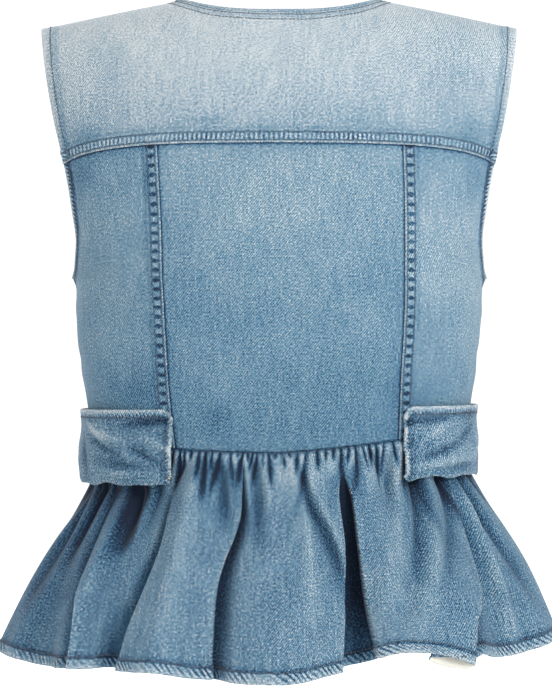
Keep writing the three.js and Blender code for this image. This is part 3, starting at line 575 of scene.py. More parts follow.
class Shell:
    """A closed sheet of cloth over a grid of points, rows running up and columns towards the wearer's left
    round the back. lift moves the outer face, soft moves both faces, inner_face replaces the inner one, and
    the rest is for its material."""

    def __init__(self, points, thickness):
        self.p = points
        self.n = grid_normals(points)
        self.thickness = thickness
        shape = points.shape[:2]
        self.lift = np.zeros(shape)
        self.soft = np.zeros(shape)
        # Tone of the cloth for its material, 0 the deepest blue and 1 the palest: the cloth's own fade, with
        # painted shade in folds, grooves, puckers and under seams, and painted highlights on ridges and
        # crests.
        self.wash = np.full(shape, 0.6)
        self.rope = np.zeros(shape)
        self.tick = np.zeros(shape)
        self.spot = np.zeros(shape)
        self.inner_face = None
        across, up = running(points, 1), running(points, 0)
        middle = shape[1] // 2
        self.cloth_uv = np.stack([across - across[:, middle:middle + 1], up + points[:1, :, 2]], -1)

    def edge(self, side):
        return self.p[EDGES[side][0]]

    def near_edge(self, side):
        """Each point's distance from an edge, and how far along the edge it is."""
        return near(self.p, self.edge(side))

    def outer(self):
        return self.p + self.n * (self.lift + self.soft)[..., None]

    def inner(self):
        if self.inner_face is not None:
            return self.inner_face
        return self.p + self.n * (self.soft - self.thickness)[..., None]

    def numbers(self):
        """The number of each point of the grid."""
        rows, columns = self.p.shape[:2]
        return np.arange(rows * columns).reshape(rows, columns)

    def quads(self):
        """The grid's faces, as the numbers of their four points."""
        k = self.numbers()
        return np.stack([k[:-1, :-1], k[1:, :-1], k[1:, 1:], k[:-1, 1:]], -1).reshape(-1, 4)

    def tree(self):
        """The outer face, for finding the place on it that is nearest to a point."""
        return BVHTree.FromPolygons(self.outer().reshape(-1, 3).tolist(), self.quads().tolist())

    def dents(self):
        """Adds the bodice's soft creases and a slight unevenness."""
        angle = np.degrees(np.arctan2(self.p[..., 0], self.p[..., 1]))
        z = self.p[..., 2]
        for turn, height, *form, out in BODY_CREASES:
            across = ((angle - turn + 180) % 360 - 180) * BODY_MM_A_DEGREE
            self.soft += out * slanted(across, z - height, *form)
        a = np.radians(angle)
        wave = np.sin(7 * a + z / 31) + np.sin(11 * a - z / 23 + 1.7) + np.sin(z / 17 + 3 * a + 0.6)
        self.soft += 0.22 * wave

    def patches(self):
        """Adds the uneven wash of the back."""
        x, z = self.p[..., 0], self.p[..., 2]
        for px, pz, wide, high, change in BACK_PATCHES:
            self.wash += change * np.exp(-((x - px) / wide) ** 2 - ((z - pz) / high) ** 2)

    def fell(self, distance, along, pitch, slant=0.0, strength=1.0, diamonds=0.0):
        """A felled seam's band: raised cloth, two grooves where the needles went and puckers between them."""
        band = 1 - smooth(distance, FELL_WIDTH, FELL_WIDTH + FELL_STEP)
        between = smooth(distance, 1.8, 3.2) * (1 - smooth(distance, 6.9, 8.3))
        drift = 0.8 / pitch * (np.sin(along / 23) + 0.4 * np.sin(along / 9.1))
        phase = along / pitch + slant * distance / FELL_WIDTH + drift
        uneven = 0.65 + 0.35 * np.sin(along / 41 + 1.1) * np.sin(along / 13 + 0.4)
        wave = 0.5 + 0.5 * np.cos(2 * np.pi * phase)
        self.lift += FELL_RAISE * band - 0.42 * band * (bump(distance, 1.6, 0.8) + bump(distance, 8.4, 0.8))
        self.lift -= 0.4 * between * wave ** 2 * uneven
        self.rope = np.maximum(self.rope, strength * between * uneven)
        self.tick = np.where(distance < FELL_WIDTH + 2, phase, self.tick)
        # Paler on the worn edge and between the rows of stitches; painted shade in the two needle grooves and
        # just past the band's inner edge.
        self.wash += (
            0.16 * bump(distance, 0.2, 0.9) - 0.3 * (bump(distance, 1.8, 0.7) + bump(distance, 8.4, 0.8)))
        self.wash += 0.06 * between - 0.1 * bump(distance, FELL_WIDTH + 1.4, 1.3)
        diamond = np.maximum(1 - np.abs(distance - 5) / 4.6, 0)
        self.spot = np.maximum(self.spot, diamonds * (0.8 + 0.2 * uneven) * diamond)
        self.lift -= 0.35 * diamonds * bump(distance, 5, 2.4) * wave * uneven
        ripple = np.cos(2 * np.pi * along / (1.9 * pitch) + 1.3 * np.sin(along / 37))
        self.soft += (
            0.22 * ripple * np.exp(-np.maximum(distance - FELL_WIDTH, 0) / 5) * smooth(distance, 6, 12))

    def shadow(self, distance, reach):
        """The dark line where cloth goes under a felled seam."""
        self.wash -= 0.5 * np.exp(-(distance / 1.3) ** 2) + 0.1 * np.exp(-(distance / reach) ** 2)

    def butted(self, distance, along, pitch):
        """The other side of a princess seam: its shadow and slight puckers beside it."""
        self.shadow(distance, 7)
        self.wash += 0.05 * bump(distance, 3.4, 1.6)
        ripple = np.cos(2 * np.pi * along / pitch + 1.5 * np.sin(along / 33))
        self.soft += 0.2 * ripple * np.exp(-distance / 5)

    def turned_edge(self, distance, along, width, pale=0.2, high=0.5, rope=0.5):
        """A turned and stitched edge: a pale roped fold, a stitch groove and a line of shadow inside it."""
        band = 1 - smooth(distance, width, width + 1.6)
        phase = along / 3.4 + 0.8 * distance / width + 0.3 * np.sin(along / 17)
        inside = smooth(distance, 0.5, 1.6) * (1 - smooth(distance, width - 1.4, width - 0.4))
        wave = 0.5 + 0.5 * np.cos(2 * np.pi * phase)
        self.lift += (high * band - 0.35 * bump(distance, width - 0.6, 0.7)
                      - 0.2 * inside * wave * smooth(distance, 2, 4))
        self.rope = np.maximum(self.rope, rope * inside * smooth(distance, 1, 3))
        self.tick = np.where(distance < width + 1, phase, self.tick)
        # Paler on the worn fold; painted shade in the stitch groove, and a painted shadow line just past the
        # band.
        self.wash += pale * (1 - smooth(distance, 0.4, width - 0.8)) - 0.24 * bump(distance, width - 0.4, 0.8)
        self.wash -= 0.14 * bump(distance, width + 2.2, 1.5)
        ripple = np.cos(2 * np.pi * along / 8.6 + 1.4 * np.sin(along / 29))
        self.soft += 0.16 * ripple * bump(distance, width + 2, 4)


def add_mesh(name, points, faces):
    """Makes a smooth mesh object from points in millimetres."""
    mesh = bpy.data.meshes.new(name)
    mesh.from_pydata((np.asarray(points) * MM).tolist(), [], [list(f) for f in faces])
    mesh.polygons.foreach_set("use_smooth", [True] * len(mesh.polygons))
    mesh.update()
    obj = bpy.data.objects.new(name, mesh)
    bpy.context.scene.collection.objects.link(obj)
    return obj


def float_attribute(mesh, name, values):
    """Gives each point of a mesh a value for its material."""
    layer = mesh.attributes.new(name, "FLOAT", "POINT")
    layer.data.foreach_set("value", np.asarray(values, np.float32).ravel())


def build_shell(name, shell, materials):
    """Makes a shell's mesh: outer face, inner face and a rounded rim, its material slots and attributes."""
    outer, inner = shell.outer(), shell.inner()
    k, quads = shell.numbers(), shell.quads()
    count = k.size
    loop = np.concatenate([k[::-1, 0], k[0, 1:], k[1:, -1], k[-1, -2:0:-1]])
    flat_outer, flat_inner = outer.reshape(-1, 3), inner.reshape(-1, 3)
    away = np.zeros(outer.shape)
    for side in ("left", "right", "bottom", "top"):
        edge, beside = EDGES[side]
        away[edge] += unit(outer[edge] - outer[beside])
    middle = (flat_outer[loop] + flat_inner[loop]) / 2 + unit(away.reshape(-1, 3)[loop]) * RIM_BULGE
    points = np.concatenate([flat_outer, flat_inner, middle])
    m = 2 * count + np.arange(len(loop))
    nxt = np.roll(np.arange(len(loop)), -1)
    rim_out = np.stack([loop, loop[nxt], m[nxt], m], -1)
    rim_in = np.stack([m, m[nxt], loop[nxt] + count, loop + count], -1)
    faces = np.concatenate([quads, quads[:, ::-1] + count, rim_out, rim_in])
    obj = add_mesh(name, points, faces.tolist())
    mesh = obj.data
    for material in materials:
        mesh.materials.append(material)
    slots = np.zeros(len(faces), np.int32)
    slots[len(quads):2 * len(quads)] = 1
    mesh.polygons.foreach_set("material_index", slots)
    for label in ("wash", "rope", "tick", "spot"):
        flat = getattr(shell, label).ravel()
        float_attribute(mesh, label, np.concatenate([flat, flat, flat[loop]]))
    flat = shell.cloth_uv.reshape(-1, 2) * MM
    at_vertex = np.concatenate([flat, flat, flat[loop]])
    corner = np.empty(len(mesh.loops), np.int32)
    mesh.loops.foreach_get("vertex_index", corner)
    layer = mesh.uv_layers.new(name="cloth")
    layer.data.foreach_set("uv", at_vertex[corner].astype(np.float32).ravel())
    return obj


# ---------------------------------------------------------------------------------------------------------
# Stitching
# ---------------------------------------------------------------------------------------------------------
def inset_line(shell, side, distance, trim, above=-math.inf):
    """A line at a distance inside one edge of a shell, where it is higher than above, shortened at its two
    ends."""
    edge, beside = EDGES[side]
    line = shell.p[edge]
    into = np.cross(shell.n[edge], unit(np.gradient(line, axis=0)))
    into *= np.sign((into * (shell.p[beside] - line)).sum(-1, keepdims=True))
    return trimmed((line + into * distance)[line[:, 2] > above], *trim)


def neck_inset(shell, distance):
    """A line at a distance below the neckline of a shell."""
    line = shell.neck_line
    tree = shell.tree()
    normals = np.array([tree.find_nearest(Vector(p))[1] for p in line])
    into = unit(np.cross(normals, unit(np.gradient(line, axis=0))))
    into *= np.where(into[:, 2:] > 0, -1, 1)
    return trimmed(line + into * distance, 3, 3)


def trimmed(line, start, end):
    """A line's points at every millimetre, shortened at its two ends."""
    run = line_run(line)
    return on_line(line, run, np.arange(start, run[-1] - end, 1.0))


def stitch_frames(line, tree, pitch):
    """Centre and axes of each stitch along a line, settled on the cloth."""
    run = line_run(line)
    frames = []
    for place in np.arange(pitch / 2, run[-1], pitch):
        hits = [tree.find_nearest(Vector(p)) for p in on_line(line, run, place + np.array([-1.2, 0, 1.2]))]
        if any(h[0] is None for h in hits):
            continue
        along = (hits[2][0] - hits[0][0]).normalized()
        up = hits[1][1].normalized()
        across = along.cross(up).normalized()
        up = across.cross(along)
        frames.append((hits[1][0] + up * STITCH_SINK, across, up, along))
    return frames


def model_stitch():
    """One stitch of thread, lying along Z and rising in Y: a short rounded bar."""
    bpy.ops.object.select_all(action="DESELECT")
    bpy.ops.mesh.primitive_cylinder_add(vertices=6, radius=0.5, depth=1.0)
    obj = bpy.context.active_object
    bpy.ops.object.mode_set(mode="EDIT")
    bpy.ops.mesh.select_all(action="DESELECT")
    bpy.ops.object.mode_set(mode="OBJECT")
    for face in obj.data.polygons:
        face.select = abs(face.normal.z) > 0.9
    bpy.ops.object.mode_set(mode="EDIT")
    bpy.ops.mesh.inset(thickness=0.22)
    bpy.ops.mesh.quads_convert_to_tris()
    bpy.ops.object.mode_set(mode="OBJECT")
    points = np.array([v.co for v in obj.data.vertices])
    rim = np.abs(points[:, 2]) > 0.49
    points[rim & (np.hypot(points[:, 0], points[:, 1]) > 0.45), 2] *= 0.72
    faces = [list(f.vertices) for f in obj.data.polygons]
    mesh = obj.data
    bpy.data.objects.remove(obj)
    bpy.data.meshes.remove(mesh)
    return points, faces


def sew(name, lines, pitch):
    """Joins one row of stitches for each (line, tree) into one mesh."""
    unit_points, unit_faces = model_stitch()
    unit_points = unit_points * np.array(STITCH_SIZE)
    points, faces = [], []
    for line, tree in lines:
        for centre, across, up, along in stitch_frames(line, tree, pitch):
            axes = np.array([across, up, along])
            start = len(points) * len(unit_points)
            points.append(unit_points @ axes + np.array(centre))
            faces.extend([[v + start for v in f] for f in unit_faces])
    obj = add_mesh(name, np.concatenate(points), faces)
    obj.data.materials.append(thread_material())
    return obj


# ---------------------------------------------------------------------------------------------------------
# Materials
# ---------------------------------------------------------------------------------------------------------
class Socket:
    """A shader socket that adds Math nodes where it is used in an expression."""

    def __init__(self, graph, socket):
        self.graph, self.socket = graph, socket

    def math(self, operation, *others):
        """Adds a Math node with this socket as its first input."""
        return self.graph.node("ShaderNodeMath", {"operation": operation}, dict(enumerate((self, *others))))

    def __add__(self, other):
        return self.math("ADD", other)

    __radd__ = __add__

    def __sub__(self, other):
        return self.math("SUBTRACT", other)

    def __rsub__(self, other):
        return self.graph.node("ShaderNodeMath", {"operation": "SUBTRACT"}, {0: other, 1: self})

    def __mul__(self, other):
        return self.math("MULTIPLY", other)

    __rmul__ = __mul__

    def __pow__(self, other):
        return self.math("POWER", other)

    def sin(self):
        return self.math("SINE")

    def ramp(self, low, high):
        return self.graph.node(
            "ShaderNodeMapRange", {"interpolation_type": "SMOOTHSTEP"},
            {"Value": self, "From Min": low, "From Max": high})


class Graph:
    """A material's nodes."""

    def __init__(self, name):
        self.material = bpy.data.materials.new(name)
        self.material.use_nodes = True
        self.tree = self.material.node_tree
        self.tree.nodes.clear()

    def node(self, kind, settings=None, inputs=None, output=0):
        """Adds a node, fills in its settings and inputs, and returns one of its outputs."""
        node = self.tree.nodes.new(kind)
        for key, value in (settings or {}).items():
            if key == "stops":
                ramp = node.color_ramp
                while len(ramp.elements) < len(value):
                    ramp.elements.new(0.5)
                for element, (place, colour) in zip(ramp.elements, value):
                    element.position = place
                    element.color = (*colour, 1)
            else:
                setattr(node, key, value)
        for key, value in (inputs or {}).items():
            if isinstance(value, Socket):
                self.tree.links.new(value.socket, node.inputs[key])
            else:
                node.inputs[key].default_value = value
        return None if output is None else Socket(self, node.outputs[output])

    def cloth_uv(self):
        """The cloth's own map, and its two coordinates, in metres round the body and up."""
        uv = self.node("ShaderNodeUVMap", {"uv_map": "cloth"})
        u = self.node("ShaderNodeSeparateXYZ", {}, {0: uv})
        return uv, u, Socket(self, u.socket.node.outputs[1])

    def attribute(self, name):
        """A value that the points of the mesh carry."""
        return self.node("ShaderNodeAttribute", {"attribute_name": name}, output="Fac")

    def noise(self, vector, scale, detail=2.0, stretch=(1, 1, 1), roughness=0.55):
        placed = self.node("ShaderNodeMapping", {}, {"Vector": vector, "Scale": stretch})
        return self.node(
            "ShaderNodeTexNoise", {"noise_dimensions": "3D"},
            {"Vector": placed, "Scale": scale, "Detail": detail, "Roughness": roughness})

    def finish(self, inputs):
        """Ends the material in one surface."""
        surface = self.node("ShaderNodeBsdfPrincipled", {}, inputs, "BSDF")
        self.node("ShaderNodeOutputMaterial", {}, {"Surface": surface}, None)
        return self.material


def srgb(code):
    """A colour in linear light, from its #rrggbb code."""
    channels = [int(code[i:i + 2], 16) / 255 for i in (1, 3, 5)]
    return tuple(c / 12.92 if c <= 0.04045 else ((c + 0.055) / 1.055) ** 2.4 for c in channels)


def scaled(colour, by):
    """A colour made darker or lighter."""
    return tuple(c * by for c in colour)


# How strong the grain, and the clouds of the wash, are in each denim
TWILLS = {
    "yoke_twill": (0.95, 0.7), "body_twill": (0.85, 0.9), "peplum_twill": (1.15, 1.0),
    "tab_twill": (1.25, 2.2),
}


def denim_material(name):
    """Washed twill. Its tone, roping and puckers come from the cloth's own attributes, which carry its fade
    and also painted shade in folds, grooves, puckers and gathers and painted highlights on ridges.
    """
    if name in bpy.data.materials:
        return bpy.data.materials[name]
    contrast, clouds = TWILLS[name]
    colours = bpy.context.scene.vest_colours
    g = Graph(name)
    uv, u, v = g.cloth_uv()
    wash, rope, tick, spot = (g.attribute(key) for key in ("wash", "rope", "tick", "spot"))
    cloud = g.noise(uv, 24, 3)
    blotch = g.noise(uv, 95, 3, (1, 0.6, 1))
    slub = g.noise(uv, 300, 2, (1, 0.12, 1))
    grain = g.noise(uv, 620, 2, roughness=0.7)
    wobble = g.noise(uv, 160, 1)
    pitch = bpy.context.scene.vest_cloth.twill_pitch
    twill = ((u + v * 0.8 + wobble * 0.0008) * (2 * math.pi / pitch)).sin()
    # The roping of seams and hems: darker in the pucker troughs and in the diamonds of the princess seams,
    # paler on the crests between. The dark part is partly dye kept in the troughs and partly painted shade
    # there.
    puckers = (tick * (2 * math.pi)).math("COSINE") * 0.5 + 0.5
    diamond = (spot * 1.1 + puckers * 1.1 - 1.15).ramp(0.0, 0.6)
    pucker_shade = rope * (puckers ** 1.6) * 1.2 + diamond * 0.85
    shade = (wash + (cloud - 0.5) * (0.2 * clouds) + (blotch - 0.5) * (0.16 * contrast)
             + (slub - 0.5) * (0.3 * contrast) + (grain - 0.5) * (1.85 * contrast)
             + twill * (0.15 * contrast) - pucker_shade * 0.5 + rope * (1 - puckers) * 0.1)
    stops = [(place, scaled(tuple(getattr(colours, key)), colours.depth)) for place, key in (
        (0.0, "groove"), (0.16, "indigo"), (0.31, "deep"), (0.46, "mid"), (0.61, "worn"), (0.76, "pale"),
        (0.9, "faded"), (1.0, "bleached"))]
    colour = g.node("ShaderNodeValToRGB", {"stops": stops}, {0: shade})
    height = twill * 0.3 + grain * 0.9 + slub * 0.3 - pucker_shade * 0.8
    normal = g.node("ShaderNodeBump", {}, {"Strength": 0.55, "Distance": 0.0005, "Height": height})
    rough = shade * -0.08 + 0.93
    return g.finish({
        "Base Color": colour, "Roughness": rough, "Normal": normal, "Specular IOR Level": 0.25,
        "Sheen Weight": 0.08, "Sheen Roughness": 0.5})


def reverse_material():
    """The cloth's cream reverse, with the blue of the warp showing through."""
    name = "cloth_reverse"
    if name in bpy.data.materials:
        return bpy.data.materials[name]
    g = Graph(name)
    uv, u, v = g.cloth_uv()
    grain = g.noise(uv, 600, 2)
    cloud = g.noise(uv, 40, 3)
    twill = ((u - v * 0.8) * (2 * math.pi / bpy.context.scene.vest_cloth.twill_pitch)).sin()
    shade = cloud * 0.4 + grain * 0.5 + twill * 0.07 + 0.05
    colours = bpy.context.scene.vest_colours
    cream = tuple(colours.reverse)
    stops = [(0.2, tuple(c * f for c, f in zip(cream, (0.72, 0.8, 0.95)))), (0.75, cream)]
    colour = g.node("ShaderNodeValToRGB", {"stops": stops}, {0: shade})
    height = twill * 0.4 + grain
    normal = g.node("ShaderNodeBump", {}, {"Strength": 0.5, "Distance": 0.0005, "Height": height})
    return g.finish({
        "Base Color": colour, "Roughness": shade * -0.05 + 0.95, "Normal": normal, "Specular IOR Level": 0.2})


def thread_material():
    """Matt sewing thread, paler where it is worn."""
    name = "sewing_thread"
    if name in bpy.data.materials:
        return bpy.data.materials[name]
    g = Graph(name)
    place = g.node("ShaderNodeTexCoord", {}, output="Object")
    worn = g.noise(place, 90, 3)
    ply = g.noise(place, 2200, 1)
    shade = worn * 0.7 + ply * 0.3
    dark = tuple(bpy.context.scene.vest_colours.thread)
    stops = [(0.35, dark), (0.62, tuple(c * 2.2 + 0.03 for c in dark))]
    colour = g.node("ShaderNodeValToRGB", {"stops": stops}, {0: shade})
    normal = g.node("ShaderNodeBump", {}, {"Strength": 0.4, "Distance": 0.0002, "Height": ply})
    return g.finish({"Base Color": colour, "Roughness": 0.75 + ply * 0.1, "Normal": normal})


def button_material():
    """Dull metal with tarnish and fine brushing."""
    g = Graph("aged_metal")
    place = g.node("ShaderNodeTexCoord", {}, output="Object")
    tarnish = g.noise(place, 260, 4)
    brushed = g.noise(place, 1500, 2, (1, 1, 0.2))
    shade = tarnish * 0.7 + brushed * 0.3
    stops = [(0.3, (0.16, 0.15, 0.13)), (0.55, (0.42, 0.4, 0.36)), (0.75, (0.6, 0.58, 0.54))]
    colour = g.node("ShaderNodeValToRGB", {"stops": stops}, {0: shade})
    normal = g.node("ShaderNodeBump", {}, {"Strength": 0.3, "Distance": 0.0003, "Height": shade})
    return g.finish({
        "Base Color": colour, "Metallic": 1.0, "Roughness": 0.55 - tarnish * 0.25, "Normal": normal})


def floor_material():
    """White, with faint specks."""
    g = Graph("studio_floor")
    place = g.node("ShaderNodeTexCoord", {}, output="Object")
    speck = g.noise(place, 40, 3)
    stops = [(0.3, (0.96, 0.96, 0.96)), (0.7, (0.98, 0.98, 0.98))]
    colour = g.node("ShaderNodeValToRGB", {"stops": stops}, {0: speck})
    return g.finish({"Base Color": colour, "Roughness": 0.8})


# ---------------------------------------------------------------------------------------------------------
# The vest's pieces
# ---------------------------------------------------------------------------------------------------------
SHELLS = {}


def finish_piece(obj, slot, *nodes):
    """Puts a piece on the body and hides the nodes whose place it takes; slot is not used."""
    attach(obj, "root")
    if nodes:
        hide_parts(*nodes)


def yoke_shell():
    """The back yoke, from the yoke seam up over both shoulders."""
    neck = NECK_ACROSS
    near_point = [0.92, 0.94, 0.955, 0.968, 0.978, 0.986, 0.992, 0.997, 1]
    inner = np.concatenate([np.linspace(0, 0.9, 44)[1:], near_point]) * neck
    outer = mix(neck, 1, steps(112, 0, 10, 1.1, 2.4))[1:]
    half = np.concatenate([inner, outer])
    q = np.concatenate([-half[::-1], [0], half])
    is_neck = np.abs(q) < neck - 1e-6
    seam = level_of("back", q, yoke_z(q) + GAP / 2)
    band = level_of("back", q, yoke_z(q) + FELL_WIDTH + 3)
    top = np.where(is_neck, neck_level("back", q), SHOULDER_SEAM)
    shared = mix(band, SHOULDER_SEAM, 0.4)
    levels = [mix(seam, band, f) for f in np.linspace(0, 1, 15)]
    levels += [mix(band, shared, f) for f in np.linspace(0, 1, 20)[1:]]
    levels += [mix(shared, top, f) for f in steps(70, 0, 11, 1.0, 2.4)[1:]]
    level = np.array(levels)
    shell = Shell(bodice("back", q[None, :], level), CLOTH)
    z = shell.p[..., 2]
    shell.wash = np.interp(z, *FADE_AND_LIGHT_BY_HEIGHT["yoke"])
    shell.wash -= 0.03 * np.clip(-shell.p[..., 0] / 150, -1, 1)
    shell.dents()
    shell.patches()
    shell.fell(*shell.near_edge("bottom"), 3.8, slant=0.12)
    for side in ("left", "right"):
        distance, along = shell.near_edge(side)
        shell.turned_edge(distance, along, 8.4, 0.12, rope=0.2)
        # A painted shadow line just inside each armhole's band.
        shell.wash -= 0.14 * bump(distance, 13.5, 1.4)
    distance = neck_edge(shell, is_neck)
    # The groove of the neckline's second row of stitches, with painted shade in it.
    shell.lift -= 0.3 * bump(distance, 7.6, 0.8)
    shell.wash -= 0.12 * bump(distance, 7.6, 0.8)
    return shell


def neck_edge(shell, is_neck):
    """Turns the neckline's part of a shell's top edge under its binding. Returns the distance from it."""
    shell.neck_line = shell.p[-1, is_neck]
    distance, along = near(shell.p, shell.neck_line)
    shell.turned_edge(distance, along, 2.4, 0.02, 0.2)
    return distance


def back_panel(places, wash):
    """A shell of the back, from the waist seam up to the yoke seam. places gives the share across of each of
    its columns at a level."""
    rows = steps(240, 7, 7, 1.2, 2.4)[:, None]
    level = np.full(rows.shape, YOKE_LEVEL)
    for _ in range(2):
        q = places(level)[-1]
        level = -100 + (level_of("back", q, yoke_z(q) - GAP / 2) + 100) * rows
    shell = Shell(bodice("back", places(level), level), CLOTH)
    shell.wash = np.interp(shell.p[..., 2], *FADE_AND_LIGHT_BY_HEIGHT[wash])
    return shell


def back_centre_shell():
    """The centre back, between the princess seams."""
    half = 2 * steps(190, 14, 14, 1.1, 2.5) - 1

    def places(level):
        left, right = princess("left", level), princess("right", level)
        return half * (np.where(half > 0, left, right) - SEAM_SHARE)

    shell = back_panel(places, "centre")
    shell.dents()
    shell.patches()
    for side in ("left", "right"):
        shell.butted(*shell.near_edge(side), 11.0)
    distance, along = shell.near_edge("top")
    shell.shadow(distance, 5)
    shell.soft += 0.14 * np.cos(along * 2 * np.pi / 9.2) * np.exp(-distance / 5)
    waist_edge(shell)
    return shell


def waist_edge(shell):
    """The cloth just above the gathers: short uneven puckers with painted shade and highlight on them, and a
    painted shadow line along the seam.
    """
    distance, along = shell.near_edge("bottom")
    wave = np.cos(along * 2 * np.pi / 7.3 + 1.8 * np.sin(along / 19))
    wave = wave + 0.6 * np.cos(along * 2 * np.pi / 12.7 + 0.8)
    shell.soft += 0.28 * wave * np.exp(-distance / 8)
    # Painted shade and highlight on the puckers, and a painted shadow line along the seam.
    shell.wash += 0.035 * wave * np.exp(-distance / 9) - 0.3 * np.exp(-(distance / 1.0) ** 2)
    shell.lift -= 0.5 * np.exp(-(distance / 1.2) ** 2)


def armhole_edge(shell, side, width, pale):
    """Turns and stitches the armhole's part of a side edge, which bows in below its middle and stands away at
    the underarm. Returns the distance from it and along it."""
    line = shell.edge(side)
    distance, along = near(shell.p, line[line[:, 2] > ARMHOLE_LOW])
    shell.turned_edge(distance, along, width, pale)
    above = shell.p[..., 2] - ARM_Z
    shell.soft -= 2.8 * np.exp(-((above - 32) / 18) ** 2 - distance / 14)
    shell.soft += 3.4 * np.exp(-((above - 1) / 5) ** 2 - distance / 7)
    return distance, along


def back_side_shell(side):
    """A side back, from its princess seam to the armhole and side."""
    way, inner, outer = (1, "left", "right") if side == "left" else (-1, "right", "left")
    f = steps(100, 14, 11, 1.0, 2.5)[::way]

    def places(level):
        return way * mix(princess(side, level) + SEAM_SHARE, 1 - SEAM_SHARE, f)

    shell = back_panel(places, "side")
    # Painted light: the right side back is paler, on the key light's side.
    shell.wash += 0.0 if way > 0 else 0.06
    shell.dents()
    shell.patches()
    shell.fell(*shell.near_edge(inner), 7.7, strength=0.25, diamonds=1.0)
    distance, along = armhole_edge(shell, outer, 6.8, 0.32)
    # Painted shadows of the puckers along the armhole: dark blotches and diamonds just inside its stitching.
    shell.spot = np.maximum(shell.spot, np.maximum(1 - np.abs(distance - 5.2) / 3.6, 0))
    shell.wash -= (0.24 + 0.14 * np.sin(along / 7.3) * np.sin(along / 3.1 + 1)) * bump(distance, 7.6, 1.7)
    shell.shadow(shell.near_edge("top")[0], 5)
    waist_edge(shell)
    return shell


def front_shell(side):
    """A front, from the opening to the armhole and side."""
    way = 1 if side == "left" else -1
    rows = steps(270, 7, 0, 1.2, 2.6)
    rows = rows[rows <= 0.55]
    inner = np.concatenate([steps(86, 0, 0, 1, 2.4) * 0.93, [0.945, 0.958, 0.97, 0.98, 0.988, 0.995, 1]])
    outer = steps(112, 0, 10, 1.1, 2.6)[1:]
    lower = -100 + (NECK_SHARED_LEVEL + 100) * (rows / rows[-1])
    upper = steps(100, 0, 8, 1.1, 2.4)[1:]

    def columns(level):
        edge = -way * across_at("front", -OPENING_X, level) + SEAM_SHARE
        edge = np.asarray(edge, float)[..., None]
        near_neck = mix(edge, NECK_ACROSS, inner)
        beyond = mix(NECK_ACROSS, 1 - SEAM_SHARE, outer) + 0 * edge
        return np.concatenate([near_neck, beyond], axis=-1)

    base = columns(NECK_SHARED_LEVEL)
    is_neck = np.abs(base) < NECK_ACROSS - 1e-6
    top = np.where(is_neck, neck_level("front", base), FRONT_TOP)
    level = np.concatenate([
        np.repeat(lower[:, None], len(base), 1), mix(NECK_SHARED_LEVEL, top, upper[:, None])])
    q = np.stack([np.diagonal(columns(row)) for row in level])
    points = bodice("front", way * q, level)
    if way > 0:
        points = points[:, ::-1]
        is_neck = is_neck[::-1]
    shell = Shell(points, CLOTH)
    shell.wash = np.interp(shell.p[..., 2], *FADE_AND_LIGHT_BY_HEIGHT["front"])
    shell.dents()
    armhole_edge(shell, side, 6.4, 0.3)
    neck_edge(shell, is_neck)
    waist_edge(shell)
    return shell


def valleys(stretch):
    """The valleys between the gathers of a stretch: angle, depth, half width and how far down each runs."""
    start, end, count = GATHERS[stretch]
    k = np.arange(1, count)
    places = mix(start, end, (k + 0.55 * (chance(k + start) - 0.5)) / count)
    if stretch == "back":
        side = float(curve(RINGS["z"], RINGS["side"], WAIST_CENTRE_Z))
        crests = np.array(CRESTS[::-1])
        angle = np.degrees(np.sign(crests) * np.arcsin((np.abs(crests) / side) ** (RING_POWER / 2)))
        own = (angle[1:] + angle[:-1]) / 2
        places = np.concatenate([places[places < own[0] - 1.6], own, places[places > own[-1] + 1.6]])
    number = np.round(places * 10)
    long = chance(number + 900) ** 1.7
    beside = smooth(np.abs(places), 30, 37) * smooth(180 - np.abs(places), 30, 37)
    beside *= chance(number + 400) > 0.42
    depth = mix(2.0 + 2.8 * long, 3.4 + 1.8 * long, beside)
    half = mix(0.7 + 1.0 * long, 1.8 + 1.4 * long, beside)
    reach = mix(8 + 62 * long, 62 + 60 * long, beside)
    drift = mix((chance(number + 1300) - 0.5) * 0.36, 0.0, beside)
    return np.stack([places, depth, half, reach, drift], -1)


def gather_stand(angles, down, stretch, spacing):
    """How far the gathered cloth stands out below the waist seam, and how deep in a valley it is from 0 to 1,
    which becomes painted shade in the valley."""
    roll = (0.4 + 2.6 * smooth(down, 0, 6)) * (1 - smooth(down, 10, 75))
    stand = np.repeat(roll[:, None], len(angles), 1)
    deep = np.zeros_like(stand)
    table = valleys(stretch)
    for number, (place, depth, half, reach, drift) in enumerate(table):
        strength = 0.3 + 0.85 * float(chance(number + 31))
        near_here = np.abs(angles - place) < 9
        if not near_here.any():
            continue
        across = (angles[None, near_here] - place) * spacing[:, near_here] - (drift * down)[:, None]
        open_ = (0.6 + 0.9 * smooth(down, 0, 0.3 * reach))[:, None] * half
        along = (smooth(down, -3, 4) * (1 - smooth(down, 0.35 * reach, reach)))[:, None]
        shape = np.exp(-np.abs(across / open_) ** 1.25) * along
        stand[:, near_here] -= depth * shape * (0.55 + 0.45 * smooth(down, 0, 8))[:, None]
        deep[:, near_here] = np.maximum(deep[:, near_here], shape * strength)
    places = table[:, 0]
    # Short ridges between the valleys, made a little paler as painted highlight.
    for number, place in enumerate((places[1:] + places[:-1]) / 2):
        near_here = np.abs(angles - place) < 4
        reach = 9 + 26 * float(chance(number + 77)) ** 1.5
        across = (angles[None, near_here] - place) * spacing[:, near_here]
        along = (smooth(down, 0, 4) * (1 - smooth(down, 0.3 * reach, reach)))[:, None]
        shape = np.exp(-np.abs(across / 1.1) ** 1.3) * along
        stand[:, near_here] += 0.9 * shape
        deep[:, near_here] -= 0.2 * shape * (0.4 + float(chance(number + 5)))
    return stand, deep


